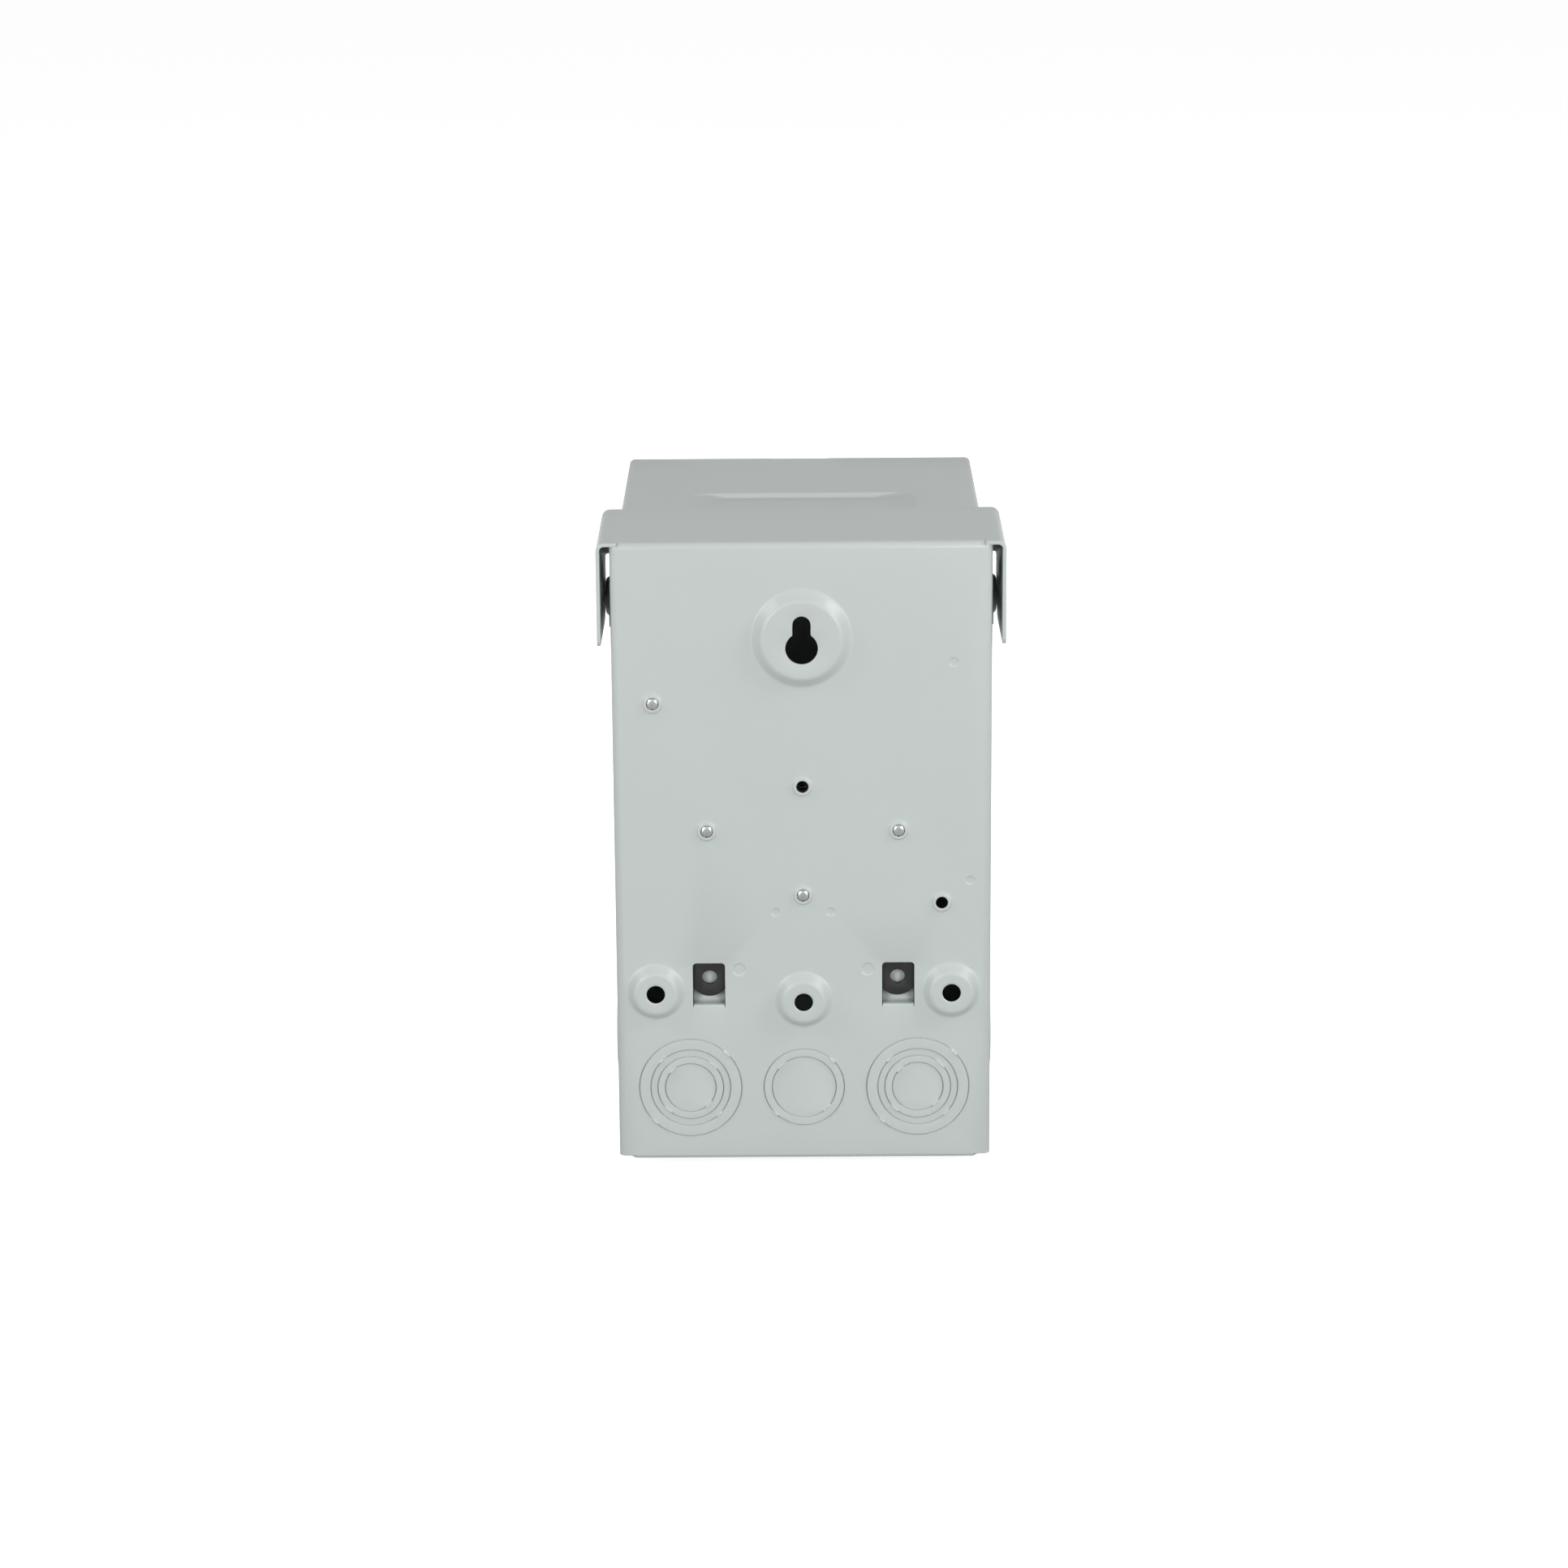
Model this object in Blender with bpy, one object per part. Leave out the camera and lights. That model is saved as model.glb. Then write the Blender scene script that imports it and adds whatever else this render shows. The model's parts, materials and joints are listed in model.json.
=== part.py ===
"""Small outdoor load centre: one-blank enclosure with hood, top-hinged door, two-space interior.

Frame: metres, +Z up, +Y into the wall, -Y out of the front. The origin is the centre of the
upper end of the keyhole slot, on the wall plane, where the hanging screw carries the box.
Depths are measured forwards from the back panel's outer face, drops down from the hood's top.
"""
import math

import bmesh
import bpy
from mathutils import Matrix, Vector

MM = 0.001

# Sheet metal
SHEET = 1.5 * MM
DEADFRONT_SHEET = 1.2 * MM
GAP = 0.3 * MM
BEND_RADIUS = 3.0 * MM

# Overall sizes, and how far the hinge stands out and down
BOX_WIDTH = 162.0 * MM
BOX_HEIGHT = 276.0 * MM
PIVOT_DEPTH = 57.0 * MM
PIVOT_DROP = 36.0 * MM
FACE_OFFSET = 12.0 * MM
HANG_DROP = 35.0 * MM

# Clearances that set one sheet's size from another's
DOOR_TO_BOX = 0.5 * MM
DOOR_TO_SKIRT = 2.25 * MM
DOOR_TO_LIP = 1.5 * MM
DOOR_TO_FRONT = 2.5 * MM
DOOR_SWING_SPACE = 1.5 * MM
DEADFRONT_TO_BOX = 0.5 * MM
SKIRT_PAST_PIVOT = 7.0 * MM
BREAKER_TO_BREAKER = 0.4 * MM
BREAKER_TO_SCREW = 0.2 * MM

# Box
BOX_DEPTH = PIVOT_DEPTH + FACE_OFFSET - SHEET - DOOR_TO_FRONT
BOSS_HEIGHT = 4.0 * MM
BOTTOM_RELIEF = 6.0 * MM
BOTTOM_LIP_HEIGHT = 12.0 * MM
HOOD_TOP_Z = HANG_DROP
BOX_BOTTOM_Z = HOOD_TOP_Z - BOX_HEIGHT
SIDE_BOTTOM_Z = BOX_BOTTOM_Z + SHEET
HALF_BOX = BOX_WIDTH / 2

# Door
DOOR_WIDTH = BOX_WIDTH + 2 * (DOOR_TO_BOX + SHEET)
HALF_DOOR = DOOR_WIDTH / 2
DOOR_TOP_ABOVE_PIVOT = 20.0 * MM
DOOR_REACH = BOX_HEIGHT - PIVOT_DROP + SHEET + GAP
DOOR_FLANGE = 21.0 * MM
DOOR_BEND_RADIUS = 2.5 * MM
BOTTOM_FLANGE = 16.0 * MM
RECESS = (107.0 * MM, 80.0 * MM, 16.0 * MM)
RECESS_FLOOR = (79.0 * MM, 71.0 * MM, 12.0 * MM)
RECESS_DEPTH = 1.9 * MM
RECESS_FROM_BOTTOM = 84.0 * MM
NOTCH_WIDTH = 28.0 * MM
NOTCH_DEPTH = 3.0 * MM
PADLOCK_HOLE = 7.0 * MM
PADLOCK_SETBACK = 10.5 * MM
RIVET_DIAMETER = 5.0 * MM
RIVET_HEAD = 9.0 * MM
RIVET_HEAD_HEIGHT = 1.5 * MM
RIVET_HEAD_TAPER = 1.0 * MM
HINGE_BOSS = (18.6 * MM, 14.6 * MM)
DOOR_OPEN_ANGLE = math.radians(90)
LABEL_SIZE = (100.0 * MM, 60.0 * MM)
LABEL_THICKNESS = 0.3 * MM
LABEL_FROM_BOTTOM = 18.0 * MM

# Hood
HOOD_WIDTH = DOOR_WIDTH + 2 * (DOOR_TO_SKIRT + SHEET)
HALF_HOOD = HOOD_WIDTH / 2
HOOD_DEPTH = PIVOT_DEPTH + FACE_OFFSET + DOOR_TO_LIP + SHEET
LIP_HEIGHT = 20.0 * MM
SKIRT_HEIGHT = 45.0 * MM
SKIRT_DEPTH = PIVOT_DEPTH + SKIRT_PAST_PIVOT
SKIRT_FRONT_RADIUS = 18.0 * MM
SKIRT_REAR_RADIUS = 3.0 * MM
HOOD_CORNER_RADIUS = 3.5 * MM
NOTCH_BELOW_PIVOT = 10.0 * MM

# Pressed features of the back panel
KEYHOLE_BOSS = (43.0 * MM, 33.7 * MM)
KEYHOLE_ROUND = 13.9 * MM
KEYHOLE_SLOT = 7.8 * MM
KEYHOLE_LENGTH = 10.2 * MM
KEYHOLE_BOSS_DROP = 6.7 * MM
MOUNT_BOSS = (25.4 * MM, 17.5 * MM)
MOUNT_HOLE = 8.0 * MM
MOUNT_SIDE = (HALF_BOX - 17.0 * MM, BOX_BOTTOM_Z + 77.0 * MM)
MOUNT_CENTER_Z = BOX_BOTTOM_Z + 73.1 * MM
RIM = (8.6 * MM, 7.4 * MM)
RIM_HEIGHT = 0.9 * MM
OPEN_HOLE = 5.3 * MM
OPEN_HOLES = ((0.0, -71.9 * MM), (-59.8 * MM, -124.1 * MM))
DIMPLE_DEPTH = 0.3 * MM
DIMPLES = (
    (-64.6 * MM, -17.4 * MM, 4.1 * MM),
    (-72.0 * MM, -114.2 * MM, 3.8 * MM),
    (-11.9 * MM, -128.2 * MM, 3.7 * MM),
    (11.9 * MM, -128.2 * MM, 3.7 * MM),
    (-27.8 * MM, -154.1 * MM, 5.6 * MM),
    (27.8 * MM, -154.1 * MM, 5.6 * MM),
)
WINDOW_WIDTH = 14.0 * MM
WINDOW_BOTTOM_Z = BOX_BOTTOM_Z + 71.2 * MM
WINDOW_TOP_Z = WINDOW_BOTTOM_Z + 18.7 * MM
WINDOW_CORNER = 1.6 * MM
WINDOW_X = 41.0 * MM
TAB_RISE = 17.8 * MM

# Knockouts: diameters from the inside out, with ties that alternate between two diagonals
KNOCKOUT_Z = BOX_BOTTOM_Z + 33.0 * MM
KNOCKOUT_SIDE_X = HALF_BOX - 31.5 * MM
KNOCKOUT_SIDE_RINGS = (22.2 * MM, 28.6 * MM, 34.9 * MM, 44.5 * MM)
KNOCKOUT_CENTER_RINGS = (27.9 * MM, 34.9 * MM)
KNOCKOUT_SLOT = 0.5 * MM
KNOCKOUT_TIE = 2.6 * MM
SIDE_KNOCKOUT = 34.9 * MM
SIDE_KNOCKOUT_DEPTH = 29.0 * MM
SIDE_KNOCKOUT_Z = BOX_BOTTOM_Z + 51.0 * MM
SIDE_KNOCKOUT_BULGE = 0.6 * MM
SIDE_KNOCKOUT_TURN = math.radians(50)

# Interior base
BASE_WIDTH = 96.0 * MM
BASE_TOP_Z = -56.0 * MM
BASE_BOTTOM_Z = BOX_BOTTOM_Z + 91.0 * MM
BASE_STANDOFF = 0.4 * MM
BASE_THICKNESS = 6.0 * MM
BASE_BACK = SHEET + BASE_STANDOFF
BASE_FRONT = BASE_BACK + BASE_THICKNESS
TONGUE_X = 40.7 * MM
TONGUE_Z = BOX_BOTTOM_Z + 82.8 * MM
TONGUE_RADIUS = 8.4 * MM
TONGUE_HOLE = 6.5 * MM
TONGUE_THICKNESS = 2.7 * MM
WALL_THICKNESS = 1.4 * MM
WALL_DEPTH = 22.0 * MM
WALL_Z = (-80.0 * MM, -60.0 * MM)
WALL_TO_LUG = (2.0 * MM, 1.6 * MM)
RAIL_THICKNESS = 3.0 * MM
RAIL_DEPTH = 20.0 * MM
RAIL_TO_BREAKER = 0.6 * MM

# Screws
SCREW_SHANK = 5.0 * MM
SCREW_HEAD = 8.5 * MM
SCREW_HEAD_HEIGHT = 2.6 * MM
SCREW_SLOT = 1.0 * MM
SCREW_TIP_PROUD = 1.2 * MM
BASE_SCREWS = {
    "base_screw_left": (-41.2 * MM, -91.6 * MM),
    "base_screw_right": (41.2 * MM, -91.6 * MM),
    "base_screw_center": (0.0, -120.5 * MM),
}
TERMINAL_SCREW = 4.2 * MM
TERMINAL_HEAD = 6.4 * MM
TERMINAL_HEAD_HEIGHT = 2.0 * MM
TERMINAL_TIP_CLEAR = 1.0 * MM
WIRE_BORE = 4.6 * MM

# Buses, lugs and bars
BUS_THICKNESS = 2.0 * MM
BUS_WIDTH = 10.0 * MM
BUS_X = {"a": 30.0 * MM, "b": 14.0 * MM}
BUS_TOP_Z = -61.0 * MM
BUS_BACK = BASE_FRONT + GAP
BUS_FRONT = BUS_BACK + BUS_THICKNESS
STAB_REACH = 13.0 * MM
STAB_HALF_HEIGHT = 4.0 * MM
LUG_SIZE = (12.0 * MM, 14.0 * MM, 16.0 * MM)
LUG_Z = -70.0 * MM
LUG_BORE = 8.0 * MM
LUG_WALL = 1.6 * MM
LUG_SCREW = 7.4 * MM
LUG_SCREW_PROUD = 1.5 * MM
LUG_SOCKET = (4.4 * MM, 4.0 * MM)
NEUTRAL_BAR = (-46.0 * MM, 3.0 * MM)
NEUTRAL_BAR_Z = (-76.4 * MM, -67.4 * MM)
NEUTRAL_BAR_DEPTH = 10.0 * MM
NEUTRAL_SCREW_X = (-42.0 * MM, -34.0 * MM, -26.0 * MM, -18.0 * MM)
NEUTRAL_MAIN_X = -8.0 * MM
NEUTRAL_MAIN = (6.6 * MM, 6.0 * MM, 7.6 * MM)
GROUND_SCREW = (HALF_BOX - 17.3 * MM, -34.9 * MM)
GROUND_BAR_WIDTH = 8.6 * MM
GROUND_BAR_Z = (-84.0 * MM, -27.0 * MM)
GROUND_BAR_DEPTH = 10.0 * MM
GROUND_TERMINAL_Z = (-48.0 * MM, -58.0 * MM, -68.0 * MM, -78.0 * MM)

# Breakers, lying across the box, one above the other
BREAKER_LENGTH = 76.0 * MM
BREAKER_WIDTH = 25.1 * MM
BREAKER_PITCH = BREAKER_WIDTH + BREAKER_TO_BREAKER
BREAKER_UPPER_Z = -110.3 * MM
BREAKER_BACK_DEPTH = BASE_FRONT + GAP + SCREW_HEAD_HEIGHT + BREAKER_TO_SCREW
BREAKER_FRONT_DEPTH = 54.5 * MM
BREAKER_SHOULDER = (4.0 * MM, 8.0 * MM)
BREAKER_TERMINAL = (13.0 * MM, 38.0 * MM)
BREAKER_WIRE_DEPTH = 30.0 * MM
BREAKER_WIRE_RADIUS = 3.5 * MM
BREAKER_SCREW_TIP_DEPTH = 31.0 * MM
STAB_SLOT = (4.0 * MM, 12.0 * MM, 15.0 * MM)
COLLAR_WIDTH = 40.0 * MM
COLLAR_HEIGHT = BREAKER_WIDTH - 2.1 * MM
COLLAR_DEPTH = 58.5 * MM
HANDLE_PIVOT_DEPTH = 47.0 * MM
HANDLE_HUB_RADIUS = 6.0 * MM
HANDLE_WIDTH = 9.0 * MM
HANDLE_REACH = 16.0 * MM
HANDLE_THICKNESS = 5.0 * MM
HANDLE_FLARE = 1.0 * MM
HANDLE_TIP_RADIUS = 1.2 * MM
HANDLE_SWING = math.radians(22)
SLOT_LENGTH = 26.0 * MM
TRUNNION_RADIUS = 1.5 * MM
TRUNNION_LENGTH = 1.8 * MM
TRUNNION_SOCKET = 2.0 * MM

# Deadfront
DEADFRONT_WIDTH = BOX_WIDTH - 2 * (SHEET + DEADFRONT_TO_BOX)
DEADFRONT_DEPTH = 56.0 * MM
DEADFRONT_TOP_Z = 0.0
DEADFRONT_FLANGE = 8.0 * MM
DEADFRONT_POST = (43.0 * MM, -61.0 * MM)
POST_RADIUS = 4.2 * MM
PILOT_DEPTH = 12.0 * MM
DEADFRONT_SCREW = 4.0 * MM
DEADFRONT_SCREW_LENGTH = 10.0 * MM
DEADFRONT_SCREW_HEAD = (7.5 * MM, 2.2 * MM)

# Working margins for the tools that cut and join
OVERLAP = 0.2 * MM
REACH = 5.0 * MM


def y_at(depth):
    """World Y of a depth measured forwards from the back panel's outer face."""
    return -(BOSS_HEIGHT + depth)


# ---------------------------------------------------------------- tools

def clear_scene():
    for old in list(bpy.data.objects):
        bpy.data.objects.remove(old, do_unlink=True)


def material(name, color, metallic, roughness):
    made = bpy.data.materials.get(name)
    if made:
        return made
    made = bpy.data.materials.new(name)
    made.use_nodes = True
    shader = made.node_tree.nodes["Principled BSDF"]
    shader.inputs["Base Color"].default_value = (*color, 1.0)
    shader.inputs["Metallic"].default_value = metallic
    shader.inputs["Roughness"].default_value = roughness
    return made


def paint():
    return material("grey_powder_coat", (0.56, 0.61, 0.59), 0.0, 0.45)


def black_plastic():
    return material("dark_moulding", (0.035, 0.036, 0.036), 0.0, 0.55)


def zinc():
    return material("zinc_plate", (0.75, 0.76, 0.78), 1.0, 0.3)


def aluminium():
    return material("tinned_aluminium", (0.78, 0.79, 0.8), 1.0, 0.38)


def case_plastic():
    return material("breaker_case", (0.02, 0.02, 0.022), 0.0, 0.45)


def paper():
    return material("label_paper", (0.85, 0.85, 0.82), 0.0, 0.7)


def object_from(name, bm, finish):
    bmesh.ops.remove_doubles(bm, verts=bm.verts, dist=1e-6)
    bmesh.ops.recalc_face_normals(bm, faces=bm.faces)
    mesh = bpy.data.meshes.new(name)
    bm.to_mesh(mesh)
    bm.free()
    made = bpy.data.objects.new(name, mesh)
    bpy.context.scene.collection.objects.link(made)
    if finish:
        mesh.materials.append(finish)
    return made


def rounded(corners, segments=4):
    """Outline points from (a, b, radius) corners, each radius turned into an arc."""
    outline = []
    count = len(corners)
    for index, (a, b, radius) in enumerate(corners):
        here = Vector((a, b))
        if radius <= 0:
            outline.append(here)
            continue
        before = (Vector(corners[index - 1][:2]) - here).normalized()
        after = (Vector(corners[(index + 1) % count][:2]) - here).normalized()
        half = before.angle(after) / 2
        reach = radius / math.tan(half)
        start = here + before * reach
        end = here + after * reach
        middle = here + (before + after).normalized() * (radius / math.sin(half))
        first = start - middle
        sweep = first.angle_signed(end - middle)
        for step in range(segments + 1):
            turn = Matrix.Rotation(-sweep * step / segments, 2)
            outline.append(middle + turn @ first)
    return outline


def circle(a, b, radius, segments=24, first=0.0, sweep=math.tau):
    """Points round a circle; a sweep short of a full turn gives both of its ends."""
    steps = segments if sweep >= math.tau else segments + 1
    return [
        Vector((a + radius * math.cos(first + sweep * step / segments),
                b + radius * math.sin(first + sweep * step / segments)))
        for step in range(steps)
    ]


PLANES = {
    "XZ": lambda a, b, level: (a, level, b),
    "XY": lambda a, b, level: (a, b, level),
    "YZ": lambda a, b, level: (level, a, b),
}


def prism(name, outline, plane, low, high, finish=None, end_outline=None):
    """A closed solid between two levels; end_outline gives the far end another outline."""
    place = PLANES[plane]
    bm = bmesh.new()
    near = [bm.verts.new(place(p[0], p[1], low)) for p in outline]
    far = [bm.verts.new(place(p[0], p[1], high)) for p in (end_outline or outline)]
    bm.faces.new(near)
    bm.faces.new(far)
    count = len(near)
    for index in range(count):
        after = (index + 1) % count
        bm.faces.new((near[index], near[after], far[after], far[index]))
    return object_from(name, bm, finish)


def box(name, low, high, finish=None):
    outline = [(low[0], low[1]), (high[0], low[1]), (high[0], high[1]), (low[0], high[1])]
    return prism(name, outline, "XY", low[2], high[2], finish)


def disc(name, plane, centre, radius, low, high, segments=24, finish=None, end_radius=None):
    """A cylinder, or a cone when end_radius is given, standing on a plane."""
    outline = circle(centre[0], centre[1], radius, segments)
    far = None if end_radius is None else circle(centre[0], centre[1], end_radius, segments)
    return prism(name, outline, plane, low, high, finish, far)


def combine(target, tool, operation):
    """Apply one exact Boolean and throw the tool away."""
    modifier = target.modifiers.new("combine", "BOOLEAN")
    modifier.operation = operation
    modifier.solver = "EXACT"
    modifier.object = tool
    bpy.context.view_layer.update()
    evaluated = target.evaluated_get(bpy.context.evaluated_depsgraph_get())
    mesh = bpy.data.meshes.new_from_object(evaluated)
    target.modifiers.clear()
    target.data = mesh
    bpy.data.objects.remove(tool, do_unlink=True)
    merge_flat_faces(mesh)


def merge_flat_faces(mesh):
    """Drop the slivers and needless edges that a Boolean leaves, if the body stays closed."""
    bm = bmesh.new()
    bm.from_mesh(mesh)
    bmesh.ops.remove_doubles(bm, verts=bm.verts, dist=2e-6)
    bmesh.ops.dissolve_degenerate(bm, edges=bm.edges, dist=2e-6)
    bmesh.ops.dissolve_limit(bm, angle_limit=math.radians(0.05), verts=bm.verts, edges=bm.edges)
    if all(len(edge.link_faces) == 2 for edge in bm.edges):
        bm.to_mesh(mesh)
    bm.free()


def carve(target, *tools):
    for tool in tools:
        combine(target, tool, "DIFFERENCE")


def weld(target, *tools):
    for tool in tools:
        combine(target, tool, "UNION")


def smooth(target, angle=35):
    target.data.shade_smooth()
    target.data.set_sharp_from_angle(angle=math.radians(angle))


# ---------------------------------------------------------------- enclosure

def wrap_body():
    """Back panel and side walls, bent from one strip."""
    half_inner = HALF_BOX - SHEET
    profile = rounded([
        (-HALF_BOX, y_at(BOX_DEPTH), 0),
        (-HALF_BOX, y_at(0), BEND_RADIUS),
        (HALF_BOX, y_at(0), BEND_RADIUS),
        (HALF_BOX, y_at(BOX_DEPTH), 0),
        (half_inner, y_at(BOX_DEPTH), 0),
        (half_inner, y_at(SHEET), BEND_RADIUS - SHEET),
        (-half_inner, y_at(SHEET), BEND_RADIUS - SHEET),
        (-half_inner, y_at(BOX_DEPTH), 0),
    ])
    return prism("enclosure", profile, "XY", SIDE_BOTTOM_Z - OVERLAP,
                 HOOD_TOP_Z - SHEET + OVERLAP, paint())


def hood_shell():
    """Top, skirts and front lip, pressed as a cap that is open below and behind."""
    outer = rounded([
        (-HALF_HOOD, HOOD_TOP_Z - SKIRT_HEIGHT - REACH, 0),
        (-HALF_HOOD, HOOD_TOP_Z, HOOD_CORNER_RADIUS),
        (HALF_HOOD, HOOD_TOP_Z, HOOD_CORNER_RADIUS),
        (HALF_HOOD, HOOD_TOP_Z - SKIRT_HEIGHT - REACH, 0),
    ], 5)
    inner_half = HALF_HOOD - SHEET
    inner_radius = HOOD_CORNER_RADIUS - SHEET
    inner = rounded([
        (-inner_half, HOOD_TOP_Z - SKIRT_HEIGHT - 2 * REACH, 0),
        (-inner_half, HOOD_TOP_Z - SHEET, inner_radius),
        (inner_half, HOOD_TOP_Z - SHEET, inner_radius),
        (inner_half, HOOD_TOP_Z - SKIRT_HEIGHT - 2 * REACH, 0),
    ], 5)
    side = rounded([
        (y_at(0), HOOD_TOP_Z + REACH, 0),
        (y_at(0), HOOD_TOP_Z - SKIRT_HEIGHT, SKIRT_REAR_RADIUS),
        (y_at(SKIRT_DEPTH), HOOD_TOP_Z - SKIRT_HEIGHT, SKIRT_FRONT_RADIUS),
        (y_at(SKIRT_DEPTH), HOOD_TOP_Z - LIP_HEIGHT, SKIRT_REAR_RADIUS),
        (y_at(HOOD_DEPTH + REACH), HOOD_TOP_Z - LIP_HEIGHT, 0),
        (y_at(HOOD_DEPTH + REACH), HOOD_TOP_Z + REACH, 0),
    ], 6)
    shell = prism("hood", outer, "XZ", y_at(-REACH), y_at(HOOD_DEPTH), paint())
    hollow = prism("hollow", inner, "XZ", y_at(-2 * REACH), y_at(HOOD_DEPTH - SHEET))
    carve(shell, hollow)
    keep = prism("keep", side, "YZ", -HOOD_WIDTH, HOOD_WIDTH)
    combine(shell, keep, "INTERSECT")
    return shell


def top_bend_cutter():
    """What the bend between the back panel and the hood's top rounds away."""
    centre = Vector((y_at(BEND_RADIUS), HOOD_TOP_Z - BEND_RADIUS))
    arc = circle(centre.x, centre.y, BEND_RADIUS, 5, 0.0, math.pi / 2)
    outside = [Vector((centre.x, HOOD_TOP_Z + REACH)), Vector((y_at(-REACH), HOOD_TOP_Z + REACH)),
               Vector((y_at(-REACH), centre.y))]
    half = HALF_BOX - BEND_RADIUS
    return prism("top_bend", arc + outside, "YZ", -half, half)


def bottom_plate():
    """Bottom bent forwards from the back panel, with an upturned front lip."""
    half = HALF_BOX - SHEET / 2
    plate = box("bottom", (-half, y_at(BOX_DEPTH), BOX_BOTTOM_Z), (half, y_at(0), SIDE_BOTTOM_Z))
    lip = box("lip", (-half, y_at(BOX_DEPTH), BOX_BOTTOM_Z),
              (half, y_at(BOX_DEPTH - SHEET), BOX_BOTTOM_Z + BOTTOM_LIP_HEIGHT))
    weld(plate, lip)
    for side in (-1, 1):
        inner = side * (HALF_BOX - BOTTOM_RELIEF)
        relief = [(side * (HALF_BOX + REACH), BOX_BOTTOM_Z - REACH),
                  (side * (HALF_BOX + REACH), SIDE_BOTTOM_Z - OVERLAP / 2),
                  (inner + side * SHEET, SIDE_BOTTOM_Z - OVERLAP / 2),
                  (inner, BOX_BOTTOM_Z), (inner, BOX_BOTTOM_Z - REACH)]
        carve(plate, prism("relief", relief, "XZ", y_at(BOTTOM_RELIEF), y_at(-REACH)))
    padlock = disc("padlock", "XY", (0, padlock_y()), PADLOCK_HOLE / 2,
                   BOX_BOTTOM_Z - REACH, SIDE_BOTTOM_Z + REACH, 16)
    carve(plate, padlock)
    return plate


def padlock_y():
    return y_at(PIVOT_DEPTH + FACE_OFFSET - PADLOCK_SETBACK)


def press_boss(shell, centre, diameters, segments):
    """A truncated cone pressed outwards, as thick as the sheet it is pressed from."""
    base, crown = (size / 2 for size in diameters)
    slope = (base - crown) / BOSS_HEIGHT
    root = SHEET / 2
    weld(shell, disc("boss", "XZ", centre, base + slope * root, y_at(root), y_at(-BOSS_HEIGHT),
                     segments, end_radius=crown))
    wall = SHEET / 2
    mouth = SHEET + root
    carve(shell, disc("inside", "XZ", centre, base - wall + slope * root, y_at(mouth),
                      y_at(SHEET - BOSS_HEIGHT), segments, end_radius=crown - wall))


def press_keyhole(shell):
    """Hanging slot: a round hole for the screw's head with a slot above it."""
    press_boss(shell, (0, -KEYHOLE_BOSS_DROP), KEYHOLE_BOSS, 36)
    slot = KEYHOLE_SLOT / 2
    spread = math.asin(KEYHOLE_SLOT / KEYHOLE_ROUND)
    top = circle(0, 0, slot, 10, 0.0, math.pi)
    below = circle(0, -KEYHOLE_LENGTH, KEYHOLE_ROUND / 2, 24, math.pi / 2 + spread,
                   math.tau - 2 * spread)
    carve(shell, prism("keyhole", top + below, "XZ", y_at(REACH), y_at(-2 * REACH)))


def press_mounting_holes(shell):
    places = [(MOUNT_SIDE[0], MOUNT_SIDE[1]), (-MOUNT_SIDE[0], MOUNT_SIDE[1]), (0, MOUNT_CENTER_Z)]
    for place in places:
        press_boss(shell, place, MOUNT_BOSS, 28)
        carve(shell, disc("hole", "XZ", place, MOUNT_HOLE / 2, y_at(REACH), y_at(-2 * REACH), 20))


def press_small_holes(shell):
    """Extruded rims: four take screws, two are left open for accessories."""
    screw_hole = SCREW_SHANK + 2 * GAP
    places = [(x, z, screw_hole) for x, z in (*BASE_SCREWS.values(), GROUND_SCREW)]
    places += [(x, z, OPEN_HOLE) for x, z in OPEN_HOLES]
    for x, z, hole in places:
        rim = disc("rim", "XZ", (x, z), RIM[0] / 2, y_at(OVERLAP), y_at(-RIM_HEIGHT), 16,
                   end_radius=RIM[1] / 2)
        weld(shell, rim)
        carve(shell, disc("hole", "XZ", (x, z), hole / 2, y_at(REACH), y_at(-REACH), 14))
    for x, z, size in DIMPLES:
        carve(shell, disc("dimple", "XZ", (x, z), size / 2, y_at(DIMPLE_DEPTH), y_at(-REACH), 12))


def lance_windows(shell):
    """Windows whose metal is bent in and up, as a pocket for the base's tongues."""
    half = WINDOW_WIDTH / 2
    tab_front = BASE_BACK + TONGUE_THICKNESS + 2 * GAP
    for side in (-1, 1):
        middle = side * WINDOW_X
        window = rounded([
            (middle - half, WINDOW_BOTTOM_Z, 0), (middle + half, WINDOW_BOTTOM_Z, 0),
            (middle + half, WINDOW_TOP_Z, WINDOW_CORNER), (middle - half, WINDOW_TOP_Z, WINDOW_CORNER)])
        carve(shell, prism("window", window, "XZ", y_at(REACH), y_at(-REACH)))
        tab = half - GAP
        foot_top = WINDOW_BOTTOM_Z - OVERLAP
        foot = box("foot", (middle - tab, y_at(tab_front + SHEET), foot_top - SHEET),
                   (middle + tab, y_at(SHEET / 2), foot_top))
        rise = box("rise", (middle - tab, y_at(tab_front + SHEET), foot_top - SHEET),
                   (middle + tab, y_at(tab_front), foot_top + TAB_RISE))
        weld(foot, rise)
        weld(shell, foot)


def knockout_arcs(plane, centre, diameter, diagonal, low, high):
    """Two slots that part a knockout from the sheet, all but its two ties."""
    mid = diameter / 2
    tie = KNOCKOUT_TIE / mid
    tools = []
    for half_turn in (0.0, math.pi):
        first = diagonal + half_turn + tie / 2
        sweep = math.pi - tie
        outer = circle(*centre, mid + KNOCKOUT_SLOT / 2, 10, first, sweep)
        inner = circle(*centre, mid - KNOCKOUT_SLOT / 2, 10, first, sweep)
        tools.append(prism("slot", outer + inner[::-1], plane, low, high))
    return tools


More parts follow.
